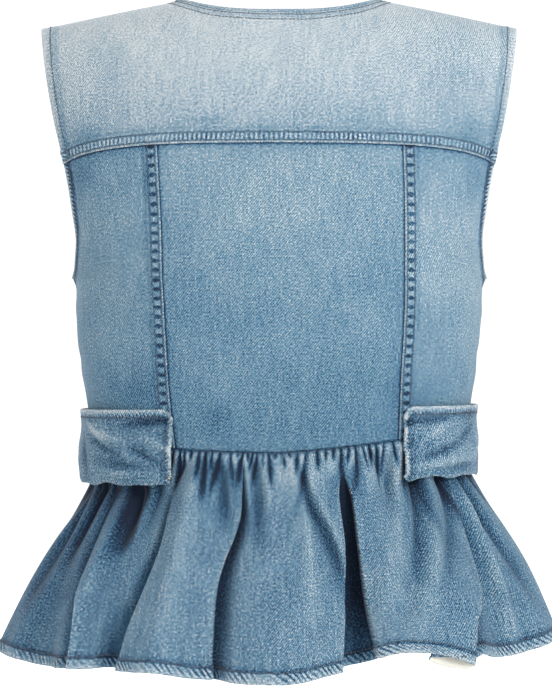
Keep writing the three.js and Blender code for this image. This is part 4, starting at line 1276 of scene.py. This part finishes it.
def crease_moves(angles, t, spacing):
    """The listed folds: how far they move the cloth out, sideways and down, their painted shade and highlight,
    and how near a sharp edge the cloth is, from 0 to 1. spacing is millimetres a degree."""
    stand, slide, sag, wash, thin = (np.zeros((len(t), len(angles))) for _ in range(5))
    for crease in PEPLUM_CREASES:
        path = np.array(crease["path"], float)
        inside = (t >= path[0, 0] - 0.03) & (t <= path[-1, 0] + 0.06)
        rows = t[inside]
        centre, plus, minus, out = (curve(path[:, 0], path[:, k], rows)[:, None] for k in (1, 2, 3, 4))
        plus, minus = np.maximum(plus, 0.6), np.maximum(minus, 0.6)
        ends = (smooth(rows, path[0, 0] - 0.03, path[0, 0] + 0.04)
                * (1 - smooth(rows, path[-1, 0], path[-1, 0] + 0.06) * (path[-1, 0] < 0.99)))[:, None]
        away = (angles[None, :] - centre) * spacing[inside]
        size = np.abs(out) / np.abs(path[:, 4]).max()
        lips = crease.get("lip", (0, 0))
        wall = (2.0 + 2.0 * rows[:, None]) * mix(1, crease.get("wall", 1), size)
        profile = np.ones_like(away)
        hangs = None
        for way, half, lip in ((1, plus, lips[0]), (-1, minus, lips[1])):
            here = way * away >= 0
            from_centre = np.abs(away)
            if lip:
                inner = half + lip * size - from_centre
                side = smooth(inner / wall, 0, 1)
                lean = np.where(
                    inner < 0, 1 - smooth(-inner, 0, crease.get("run", 24)), 1 - smooth(inner / wall, 0, 1.5))
                slide[inside] -= np.where(here, way * lip * size * lean * ends, 0)
                hangs = np.where(
                    inner < 0, 0.66 * np.exp(-(inner / 13) ** 2), 1 - 0.34 * (1 - smooth(inner, 0, 2)))
                hangs = hangs * (1 - smooth(inner / wall, 0.4, 1.9)) * here
                sharp = np.exp(-(inner / 12) ** 2) * here * np.minimum(size * 6, 1) * ends
                thin[inside] = np.maximum(thin[inside], sharp)
            elif any(lips):
                side = 1 - smooth(from_centre / (half * 1.3), 0, 1)
            else:
                side = np.exp(-(from_centre / half) ** 2)
            profile = np.where(here, side, profile)
        profile = profile * ends
        stand[inside] += out * profile
        hangs = profile if hangs is None else hangs * ends
        sag[inside] += crease.get("sag", 0) * hangs * smooth(rows, 0.72, 1)[:, None]
        fade = 1 - crease.get("fade", 0) * smooth(rows, 0.6, 1)[:, None]
        # Painted shade in each groove and painted highlight on each ridge, fading towards the hem as fade
        # gives.
        wash[inside] += crease["wash"] * profile * np.minimum(np.abs(out) / 4, 1) * fade
    return stand, slide, sag, wash, thin


def peplum_angles(low, high, spacing):
    """Columns of the peplum, closer together at its sharpest folds."""
    fine = np.linspace(low, high, 4000)
    density = 1 + sum(1.3 * np.exp(-((fine - place) / wide) ** 2) for place, wide in DENSE_AT)
    total = np.concatenate([[0], np.cumsum((density[1:] + density[:-1]) / 2 * np.diff(fine))])
    return np.interp(np.linspace(0, total[-1], int(total[-1] / spacing)), total, fine)


def peplum_shell(stretch, extra=()):
    """One piece of the peplum. extra is its whole range of angles, where it has plain cloth past its
    gathers."""
    start, end, _ = GATHERS[stretch]
    low, high = start + SEAM_TURN, end - SEAM_TURN
    flat_low, flat_high = extra if extra else (low, high)
    angles = peplum_angles(flat_low, flat_high, 0.5)
    t = steps(PEPLUM_LENGTH, 34, 13, 1.5, 2.8)
    down = PEPLUM_LENGTH * t
    plain = peplum_surface(angles, t, 0)
    spacing = np.linalg.norm(np.gradient(plain, axis=1), axis=-1) / np.gradient(angles)
    crease, slide, sag, wash, thin = crease_moves(angles, t, spacing)
    gathered, deep = gather_stand(angles, down, stretch, spacing)
    flat_part = smooth(angles, low - 0.5, low + 3) if flat_low < low - 1 else 1.0
    flat_part = flat_part * ((1 - smooth(angles, high - 3, high + 0.5)) if flat_high > high + 1 else 1.0)
    gathered, deep, crease = gathered * flat_part * (1 - 0.85 * thin), deep * flat_part, crease * flat_part
    slow = 1.1 * np.sin(angles / 3.1 + 5 * t[:, None]) + 0.8 * np.sin(angles / 1.7 - 4 * t[:, None] + 1)
    crease = crease + slow * smooth(t, 0.25, 0.7)[:, None] * flat_part
    lined = mix(np.minimum(0.25 * gathered, gathered + 0.4), gathered, thin)
    soft = peplum_surface(angles, t, crease + lined, slide, sag)[::-1]
    shell = Shell(peplum_surface(angles, t, crease + gathered, slide, sag)[::-1], CLOTH)
    shell.inner_face = soft - grid_normals(soft) * (CLOTH * (1 - 0.8 * thin[::-1]))[..., None]
    wash, gathered, crease, deep = wash[::-1], gathered[::-1], crease[::-1], deep[::-1]
    slid = (slide * spacing[-1] / spacing)[::-1]
    down = np.broadcast_to(down[::-1, None], wash.shape)
    run = line_run(plain[-1])
    shell.cloth_uv = np.stack([run - run[len(run) // 2] + slid, -down], -1)
    side = np.clip(plain[-1, :, 0] / 200, -1, 1)
    shell.wash = np.interp(down, (0, 25, 70, 130, 196), (0.52, 0.49, 0.49, 0.505, 0.51)) + wash
    # Painted shade: darker towards both sides, where the peplum turns away, and more on the wearer's left,
    # away from the key light.
    shell.wash -= (0.04 * np.abs(side) + 0.02 * np.maximum(side, 0))[None, :]
    # Painted shade in the valleys between the gathers, and painted highlights on the gathers' crests near the
    # seam.
    shell.wash -= 0.95 * deep
    shell.wash += 0.14 * np.clip(gathered - 1.2, -0.9, 1.6) * (1 - smooth(down, 20, 70))
    # Painted shade among the gathers just below the seam at the centre back, uneven along it.
    dark = bump(down, 13, 12) * (1 - smooth(np.abs(angles), 24, 40))
    shell.wash -= 0.1 * dark * (0.5 + 0.5 * np.sin(angles * 0.83 + 1.4) * np.sin(angles * 0.31 + down / 16))
    # Painted shade on the wearer's left of the peplum, under the waist tab and away from the key light.
    shell.wash -= 0.16 * smooth(angles, 32, 60) * (1 - smooth(angles, 84, 130)) * (1 - smooth(down, 100, 230))
    # Painted highlight on the folds' ridges and painted shade in their hollows, and a painted shadow line
    # along the waist seam.
    shell.wash += 0.014 * (crease - smoothed(crease, 9)) - 0.25 * (1 - smooth(down, 0, 2))
    hem_band(shell, PEPLUM_LENGTH - down, np.broadcast_to(line_run(shell.p[0]), wash.shape))
    return shell


def smoothed(values, cells):
    """Running mean along the rows of a grid."""
    kernel = np.ones(2 * cells + 1) / (2 * cells + 1)
    padded = np.pad(values, ((0, 0), (cells, cells)), mode="edge")
    return np.apply_along_axis(lambda row: np.convolve(row, kernel, mode="valid"), 1, padded)


def hem_band(shell, distance, along):
    """A turned and stitched hem: roped cloth, paler on its fold, under one row of stitches."""
    band = 1 - smooth(distance, 10.2, 11.6)
    phase = along / 5.2 - 0.17 * distance + 0.5 * np.sin(along / 21)
    phase = phase + 0.3 * np.sin(along / 6.1 + 2 * np.sin(along / 34))
    uneven = 0.62 + 0.26 * np.sin(along / 17 + 1) + 0.2 * np.sin(along / 6.7 + 2)
    slow = np.cos(2 * np.pi * (along / 10.5 - 0.9 * distance / 10) + 1.2 * np.sin(along / 27))
    inside = smooth(distance, 0.6, 2) * (1 - smooth(distance, 7.6, 9.2))
    wave = 0.5 + 0.5 * np.cos(2 * np.pi * phase)
    shell.lift += 0.8 * band - 0.5 * bump(distance, 9.4, 0.9) - inside * (0.25 * slow + 0.3 * wave)
    shell.rope = np.maximum(shell.rope, inside * (1.05 + 0.25 * slow) * uneven)
    shell.tick = np.where(distance < 12, phase, shell.tick)
    # Paler on the worn fold and across the band; painted shade in the stitch groove and a painted shadow line
    # just above the band.
    shell.wash += 0.26 * (1 - smooth(distance, 0.5, 4)) + 0.2 * inside - 0.42 * bump(distance, 9.6, 1.1)
    shell.wash -= 0.1 * bump(distance, 12.4, 1.6)


def tab_shell(side):
    """A waist tab's plain form, with rounded ends and an uneven lower edge."""
    way = 1 if side == "left" else -1
    start = TAB_BACK[side]
    f_columns = steps(300, 16, 14, 1.1, 2.3)
    angles = mix(start, TAB_FRONT, f_columns)
    down = steps(TAB_HEIGHT, 9, 6, 1.0, 2.2)
    from_back = (angles - start) * TAB_MM_A_DEGREE
    from_front = (TAB_FRONT - angles) * TAB_MM_A_DEGREE

    def rounding(away, radius):
        return radius - np.sqrt(np.maximum(radius * radius - np.maximum(radius - away, 0) ** 2, 0))

    top_cut = rounding(from_back, 7.5) + rounding(from_front, 9)
    bottom_cut = rounding(from_back, 4.5) + rounding(from_front, 9)
    level = TAB_TOP_Z - TAB_LEAN * way * np.sin(np.radians(angles))
    z_top = level - top_cut
    z_low = level - TAB_HEIGHT + bottom_cut
    sway = 0.9 * np.sin(from_back / 9 + way) + 0.7 * np.sin(from_back / 5.3 + 2)
    z_low = z_low + (1.6 - 1.6 * way + sway) * smooth(from_back, 2, 14) * smooth(from_front, 2, 14)
    z = mix(z_top[None, :], z_low[None, :], down[::-1][:, None])
    middle = np.sin(np.pi * (angles - start) / (TAB_FRONT - start))[None, :]
    low = smooth((level - z) / TAB_HEIGHT, 0.15, 0.75)
    lift = mix(mix(TAB_LIFT_END, TAB_LIFT_MIDDLE, middle), TAB_LIFT_BOTTOM, low)
    turned, z, lift = (way * angles)[::way], z[:, ::way], lift[:, ::way]
    base = ring_point(np.broadcast_to(turned, z.shape), z)
    return Shell(base + grid_normals(base) * (lift + TAB_CLOTH)[..., None], TAB_CLOTH)


def dressed_tab(side):
    """A waist tab with its creases and its turned and stitched edges."""
    shell = tab_shell(side)
    way, back_end, front_end = (1, "left", "right") if side == "left" else (-1, "right", "left")
    angle = np.degrees(np.arctan2(shell.p[..., 0], shell.p[..., 1])) * way
    z = shell.p[..., 2]
    shell.wash = np.full(shell.wash.shape, 0.455 if way > 0 else 0.47)
    for turn, height, *form, out in TAB_CREASES[side]:
        hump = slanted((angle - turn) * TAB_MM_A_DEGREE * way, z - height, *form)
        shell.soft += 1.5 * out * hump
        # Painted highlight on each raised crease and painted shade in each dent.
        shell.wash += 0.15 * out * hump
    shell.turned_edge(*shell.near_edge("top"), 6.6, 0.36, 0.4)
    shell.turned_edge(*shell.near_edge(back_end), 5.4, 0.32, 0.35)
    shell.turned_edge(*shell.near_edge(front_end), 5.4, 0.18, 0.35)
    distance, _ = shell.near_edge("bottom")
    shell.wash += 0.12 * np.exp(-(distance / 1.6) ** 2)
    shell.lift -= 0.8 * (1 - smooth(distance, 0, 2.4))
    return shell


def placket_parts():
    """Rows of the placket from the hem up: shares of the peplum, then levels of the bodice."""
    neck = float(neck_level("front", 0))
    neck_z = float(bodice("front", 0, neck)[2])
    top = float(level_of("front", 0.0, neck_z - BINDING["width"] - 2 * GAP))
    shares = steps(PEPLUM_LENGTH, 0, 12, 1.2, 2.6)[::-1]
    shares = shares[shares > 0.012]
    levels = -100 + (top + 100) * steps(255, 0, 6, 1.2, 2.6)
    return shares, levels


def placket_base(x, shares, levels):
    """The surface under the placket, peplum and bodice as one grid."""
    angles = 180 - 90 * across_at("front", x, -100)
    low = peplum_surface(angles, shares, 0)
    q = across_at("front", x[None, :], levels[:, None])
    high = bodice("front", q, levels[:, None])
    return np.concatenate([low, high])


def placket_shell():
    """The strip over the opening of the front, from the neck to the hem."""
    shares, levels = placket_parts()
    x = PLACKET_HALF * (1 - 2 * steps(2 * PLACKET_HALF, 5, 5, 0.9, 1.8))
    base = placket_base(x, shares, levels)
    normal = grid_normals(base)
    shell = Shell(base + normal * (GAP + PLACKET_CLOTH), PLACKET_CLOTH)
    z = shell.p[..., 2]
    shell.wash = np.interp(z, (-580, -400, -300, -180, -80), (0.5, 0.47, 0.58, 0.68, 0.82))
    for side in ("left", "right"):
        distance, along = shell.near_edge(side)
        shell.turned_edge(distance, along, 5.6, 0.16, 0.3)
        shell.soft += 0.25 * np.cos(along * 2 * np.pi / 14 + np.sin(along / 31)) * np.exp(-distance / 4)
    distance, _ = shell.near_edge("bottom")
    shell.wash += 0.1 * np.exp(-(distance / 1.4) ** 2)
    return shell


def binding_shell():
    """The folded strip round the neck, from the right front's edge round the back to the left front's."""
    opening = float(across_at("front", -OPENING_X, NECK_SHARED_LEVEL))
    ease = np.sin(np.linspace(0, math.pi / 2, 60))
    right = mix(opening + SEAM_SHARE, NECK_ACROSS, ease)[:-1]
    left = mix(SEAM_SHARE - opening, NECK_ACROSS, ease)[:-1]
    back = NECK_ACROSS * np.sin(np.linspace(-math.pi / 2, math.pi / 2, 90))[1:-1]
    parts = [
        ("front", -right, neck_level("front", right)),
        ("back", np.array([-NECK_ACROSS]), np.array([SHOULDER_SEAM])),
        ("back", back, neck_level("back", back)),
        ("back", np.array([NECK_ACROSS]), np.array([SHOULDER_SEAM])),
        ("front", left[::-1], neck_level("front", left[::-1])),
    ]
    edge = np.concatenate([bodice(half, q, lv) for half, q, lv in parts])
    normals = []
    for half, q, lv in parts:
        up = bodice(half, q, lv + 0.2) - bodice(half, q, lv - 0.2)
        step = 1e-3 if half == "back" else -1e-3
        across = bodice(half, q + step, lv) - bodice(half, q - step, lv)
        normals.append(unit(np.cross(up, across)))
    normals = np.concatenate(normals)
    # evenly spaced places along the neck edge
    run = line_run(edge)
    places = np.linspace(0, run[-1], int(run[-1] / 1.4))
    edge, normals = on_line(edge, run, places), unit(on_line(normals, run, places))
    away = unit(np.cross(np.gradient(edge, axis=0), normals))
    across = np.linspace(GAP * 0.4, GAP + BINDING["width"], 9)
    points = edge[None] + away[None] * across[:, None, None] + normals[None] * BINDING["raise"]
    shell = Shell(points, BINDING["thickness"])
    shell.n = np.broadcast_to(normals[None], points.shape).copy()
    shell.wash = np.full(points.shape[:2], 0.84)
    f = np.linspace(0, 1, len(across))[:, None]
    along = np.broadcast_to(places, points.shape[:2])
    phase = along / 3.0 + 0.9 * f
    wave = 0.5 + 0.5 * np.cos(2 * np.pi * phase)
    shell.lift += 0.35 * np.sin(np.pi * f) - 0.25 * wave * np.sin(np.pi * f) - 0.5 * smooth(f, 0.75, 1)
    shell.rope = 0.55 * np.sin(np.pi * f) * np.ones_like(along)
    shell.tick = phase * np.ones_like(along)
    shell.wash = shell.wash - 0.2 * np.exp(-(f / 0.14) ** 2) + 0.05 * smooth(f, 0.6, 1)
    return shell


def make_shells():
    """Works out every cloth shell once."""
    if SHELLS:
        return SHELLS
    SHELLS["back_yoke"] = yoke_shell()
    SHELLS["back_centre"] = back_centre_shell()
    edge = 180 + 90 * float(across_at("front", -OPENING_X, -100))
    for side in ("left", "right"):
        SHELLS["back_side_" + side] = back_side_shell(side)
        SHELLS["front_" + side] = front_shell(side)
        SHELLS["waist_tab_" + side] = dressed_tab(side)
    SHELLS["neck_binding"] = binding_shell()
    SHELLS["peplum_back"] = peplum_shell("back")
    SHELLS["peplum_front_left"] = peplum_shell("left", (90 + SEAM_TURN, edge - SEAM_TURN))
    SHELLS["peplum_front_right"] = peplum_shell("right", (edge - 360 + SEAM_TURN, -90 - SEAM_TURN))
    SHELLS["front_placket"] = placket_shell()
    return SHELLS


def add_cloth(node, slot, twill):
    """Makes the shell that takes a node's place."""
    obj = build_shell("vest_" + node, make_shells()[node], (denim_material(twill), reverse_material()))
    finish_piece(obj, slot, node)


# ---------------------------------------------------------------------------------------------------------
# Properties, operators and panel
# ---------------------------------------------------------------------------------------------------------
class VestCloth(bpy.types.PropertyGroup):
    """Sizes of the weave and the sewing."""
    twill_pitch: FloatProperty(
        name="Twill pitch", description="Distance from one twill line to the next", default=0.0021,
        unit="LENGTH")
    stitch_pitch: FloatProperty(
        name="Stitch pitch", description="Distance from one stitch to the next", default=0.0033,
        unit="LENGTH")


def colour_property(name, description, code):
    """A property that holds a colour."""
    return FloatVectorProperty(name=name, description=description, subtype="COLOR", size=3, min=0, max=1,
                               default=srgb(code))


class VestColours(bpy.types.PropertyGroup):
    """Colours of the cloth, from its deepest blue, which is painted shade in the deepest folds, to its worn
    edges.
    """
    depth: FloatProperty(
        name="Depth", description="Brightness of all the blues", default=0.56, subtype="FACTOR")
    # Groove is the colour of painted shade: the near-black where the peplum's folds are deepest.
    groove: colour_property("Groove", "Dye deep in a fold", "#081c33")
    indigo: colour_property("Indigo", "Unworn dye", "#194164")
    deep: colour_property("Deep blue", "Least washed cloth", "#2e6084")
    mid: colour_property("Mid blue", "Cloth of the peplum", "#52809c")
    worn: colour_property("Worn blue", "Cloth of the body", "#6f94a9")
    pale: colour_property("Pale blue", "Top of the body", "#92a8b5")
    faded: colour_property("Faded blue", "Cloth of the yoke", "#b3c1c9")
    bleached: colour_property("Bleached", "Worn edges", "#dadedf")
    reverse: colour_property("Reverse", "Inside of the cloth", "#cdc8b8")
    thread: colour_property("Thread", "Topstitching", "#23262e")


class VestStudio(bpy.types.PropertyGroup):
    """Camera, lights and floor."""
    distance: FloatProperty(
        name="Camera distance", description="From the vest to the camera", default=2.5, unit="LENGTH")
    frame_width: FloatProperty(
        name="Frame width", description="Width of the picture at the vest", default=0.46368, unit="LENGTH")
    height: FloatProperty(
        name="Camera height", description="Height of the camera", default=-0.288, unit="LENGTH")
    ambient: FloatProperty(name="Ambient", description="Strength of the white surroundings", default=0.7)
    key: FloatProperty(
        name="Key light", description="Power of the large soft light", default=46.0, unit="POWER")
    fill: FloatProperty(
        name="Fill light", description="Power of the light on the other side", default=6.0, unit="POWER")
    floor_z: FloatProperty(
        name="Floor height", description="Height of the floor", default=-0.76, unit="LENGTH")


class VEST_OT_studio(bpy.types.Operator):
    """Adds the camera, the lights and the floor"""
    bl_idname = "vest.studio"
    bl_label = "Studio"

    def execute(self, context):
        studio = context.scene.vest_studio
        data = bpy.data.cameras.new("camera")
        data.sensor_fit = "HORIZONTAL"
        data.sensor_width = SENSOR_WIDTH
        data.lens = data.sensor_width * studio.distance / studio.frame_width
        camera = bpy.data.objects.new("camera", data)
        camera.location = (CAMERA_X, studio.distance, studio.height)
        camera.rotation_euler = (math.pi / 2, 0, math.pi)
        context.scene.collection.objects.link(camera)
        context.scene.camera = camera
        for name, setting, share, place, size in LIGHTS:
            light = bpy.data.lights.new(name, "AREA")
            light.size = size
            light.energy = getattr(studio, setting) * share
            lamp = bpy.data.objects.new(name, light)
            lamp.location = place
            lamp.rotation_euler = (Vector(LIT_POINT) - Vector(place)).to_track_quat("-Z", "Y").to_euler()
            context.scene.collection.objects.link(lamp)
        world = bpy.data.worlds.new("studio")
        world.use_nodes = True
        background = world.node_tree.nodes["Background"]
        background.inputs[0].default_value = (1, 1, 1, 1)
        background.inputs[1].default_value = studio.ambient
        context.scene.world = world
        context.scene.view_settings.view_transform = "Standard"
        context.scene.view_settings.look = "None"
        context.scene.view_settings.exposure = EXPOSURE
        bpy.ops.object.select_all(action="DESELECT")
        bpy.ops.mesh.primitive_circle_add(
            vertices=64, radius=30, fill_type="NGON", location=(0, 0, studio.floor_z))
        floor = context.active_object
        floor.name = "studio_floor"
        bpy.ops.object.transform_apply(location=True, rotation=True, scale=True)
        floor.data.materials.append(floor_material())
        return {"FINISHED"}


class VEST_OT_yoke(bpy.types.Operator):
    """Makes the back yoke, over both shoulders"""
    bl_idname = "vest.yoke"
    bl_label = "Yoke"

    def execute(self, context):
        add_cloth("back_yoke", "faded_denim", "yoke_twill")
        return {"FINISHED"}


class VEST_OT_back(bpy.types.Operator):
    """Makes the centre back and the two side backs"""
    bl_idname = "vest.back_panels"
    bl_label = "Back panels"

    def execute(self, context):
        for node in ("back_centre", "back_side_left", "back_side_right"):
            add_cloth(node, "body_denim", "body_twill")
        return {"FINISHED"}


class VEST_OT_fronts(bpy.types.Operator):
    """Makes the two fronts and the placket"""
    bl_idname = "vest.fronts"
    bl_label = "Fronts"

    def execute(self, context):
        for node in ("front_left", "front_right", "front_placket"):
            add_cloth(node, "body_denim", "body_twill")
        return {"FINISHED"}


class VEST_OT_binding(bpy.types.Operator):
    """Makes the folded strip round the neck"""
    bl_idname = "vest.neck_binding"
    bl_label = "Neck binding"

    def execute(self, context):
        add_cloth("neck_binding", "faded_denim", "yoke_twill")
        return {"FINISHED"}


class VEST_OT_peplum(bpy.types.Operator):
    """Makes the gathered peplum, back and fronts"""
    bl_idname = "vest.peplum"
    bl_label = "Peplum"

    def execute(self, context):
        for node, carrier in (("peplum_back", "vest_back_centre"), ("peplum_front_left", "vest_front_left"),
                              ("peplum_front_right", "vest_front_right")):
            add_cloth(node, "peplum_denim", "peplum_twill")
        return {"FINISHED"}


class VEST_OT_tabs(bpy.types.Operator):
    """Makes the two waist tabs"""
    bl_idname = "vest.waist_tabs"
    bl_label = "Waist tabs"

    def execute(self, context):
        for side in ("left", "right"):
            add_cloth("waist_tab_" + side, "body_denim", "tab_twill")
        return {"FINISHED"}


class VEST_OT_stitching(bpy.types.Operator):
    """Sews every row of topstitching"""
    bl_idname = "vest.stitching"
    bl_label = "Stitching"

    def execute(self, context):
        pitch = context.scene.vest_cloth.stitch_pitch / MM
        shells = make_shells()
        trees = {name: shell.tree() for name, shell in shells.items()}
        groups = {}

        def row(group, node, line):
            groups.setdefault(group, []).append((line, trees[node]))

        def edge_row(group, node, side, distance, trim, above=-math.inf):
            row(group, node, inset_line(shells[node], side, distance, trim, above))

        for distance in STITCHES["fell"]:
            edge_row("yoke", "back_yoke", "bottom", distance, (1, 1))
        for end in ("left", "right"):
            edge_row("yoke", "back_yoke", end, STITCHES["yoke_armhole"], (9, 1))
        for distance in STITCHES["neck"]:
            row("yoke", "back_yoke", neck_inset(shells["back_yoke"], distance))
        for side, other in (("left", "right"), ("right", "left")):
            for distance in STITCHES["fell"]:
                edge_row("back", "back_side_" + side, side, distance, (1, 1))
            edge_row("back", "back_side_" + side, other, STITCHES["back_armhole"], (1, 2), ARMHOLE_LOW)
            node = "front_" + side
            edge_row("front", node, side, STITCHES["front_armhole"], (1, 2), ARMHOLE_LOW)
            row("front", node, neck_inset(shells[node], STITCHES["neck"][0]))
            edge_row("tabs", "waist_tab_" + side, "top", STITCHES["tab_top"], (5, 5))
            for end in ("left", "right"):
                edge_row("tabs", "waist_tab_" + side, end, STITCHES["tab_end"], (2, 6))
        for end in ("left", "right"):
            edge_row("front", "front_placket", end, STITCHES["placket"], (2, 2))
        for node in ("peplum_back", "peplum_front_left", "peplum_front_right"):
            edge_row("hem", node, "bottom", STITCHES["hem"], (1, 1))
        for group, lines in groups.items():
            finish_piece(sew("vest_stitching_" + group, lines, pitch), "body_denim")
        return {"FINISHED"}


class VEST_OT_buttons(bpy.types.Operator):
    """Gives the seven buttons their aged metal"""
    bl_idname = "vest.buttons"
    bl_label = "Buttons"

    def execute(self, context):
        material = button_material()
        for number in range(1, BUTTON_COUNT + 1):
            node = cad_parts[f"button_{number}"]
            node.data.materials.clear()
            node.data.materials.append(material)
        return {"FINISHED"}


class VEST_PT_panel(bpy.types.Panel):
    """All the settings, and a button for each step."""
    bl_label = "Denim vest"
    bl_idname = "VEST_PT_panel"
    bl_space_type = "VIEW_3D"
    bl_region_type = "UI"
    bl_category = "Vest"

    def draw(self, context):
        for group in ("vest_cloth", "vest_colours", "vest_studio"):
            settings = getattr(context.scene, group)
            for key in settings.bl_rna.properties.keys():
                if key not in ("name", "rna_type"):
                    self.layout.prop(settings, key)
        for operator in OPERATORS:
            self.layout.operator(operator.bl_idname)


OPERATORS = (VEST_OT_studio, VEST_OT_yoke, VEST_OT_back, VEST_OT_fronts, VEST_OT_binding, VEST_OT_peplum,
             VEST_OT_tabs, VEST_OT_stitching, VEST_OT_buttons)
CLASSES = (VestCloth, VestColours, VestStudio, *OPERATORS, VEST_PT_panel)


def register():
    for cls in CLASSES:
        bpy.utils.register_class(cls)
    bpy.types.Scene.vest_cloth = PointerProperty(type=VestCloth)
    bpy.types.Scene.vest_colours = PointerProperty(type=VestColours)
    bpy.types.Scene.vest_studio = PointerProperty(type=VestStudio)


def unregister():
    del bpy.types.Scene.vest_studio, bpy.types.Scene.vest_colours, bpy.types.Scene.vest_cloth
    for cls in reversed(CLASSES):
        bpy.utils.unregister_class(cls)


def main():
    register()
    bpy.ops.vest.studio()
    bpy.ops.vest.yoke()
    bpy.ops.vest.back_panels()
    bpy.ops.vest.fronts()
    bpy.ops.vest.neck_binding()
    bpy.ops.vest.peplum()
    bpy.ops.vest.waist_tabs()
    bpy.ops.vest.stitching()
    bpy.ops.vest.buttons()


if __name__ == "__main__":
    main()
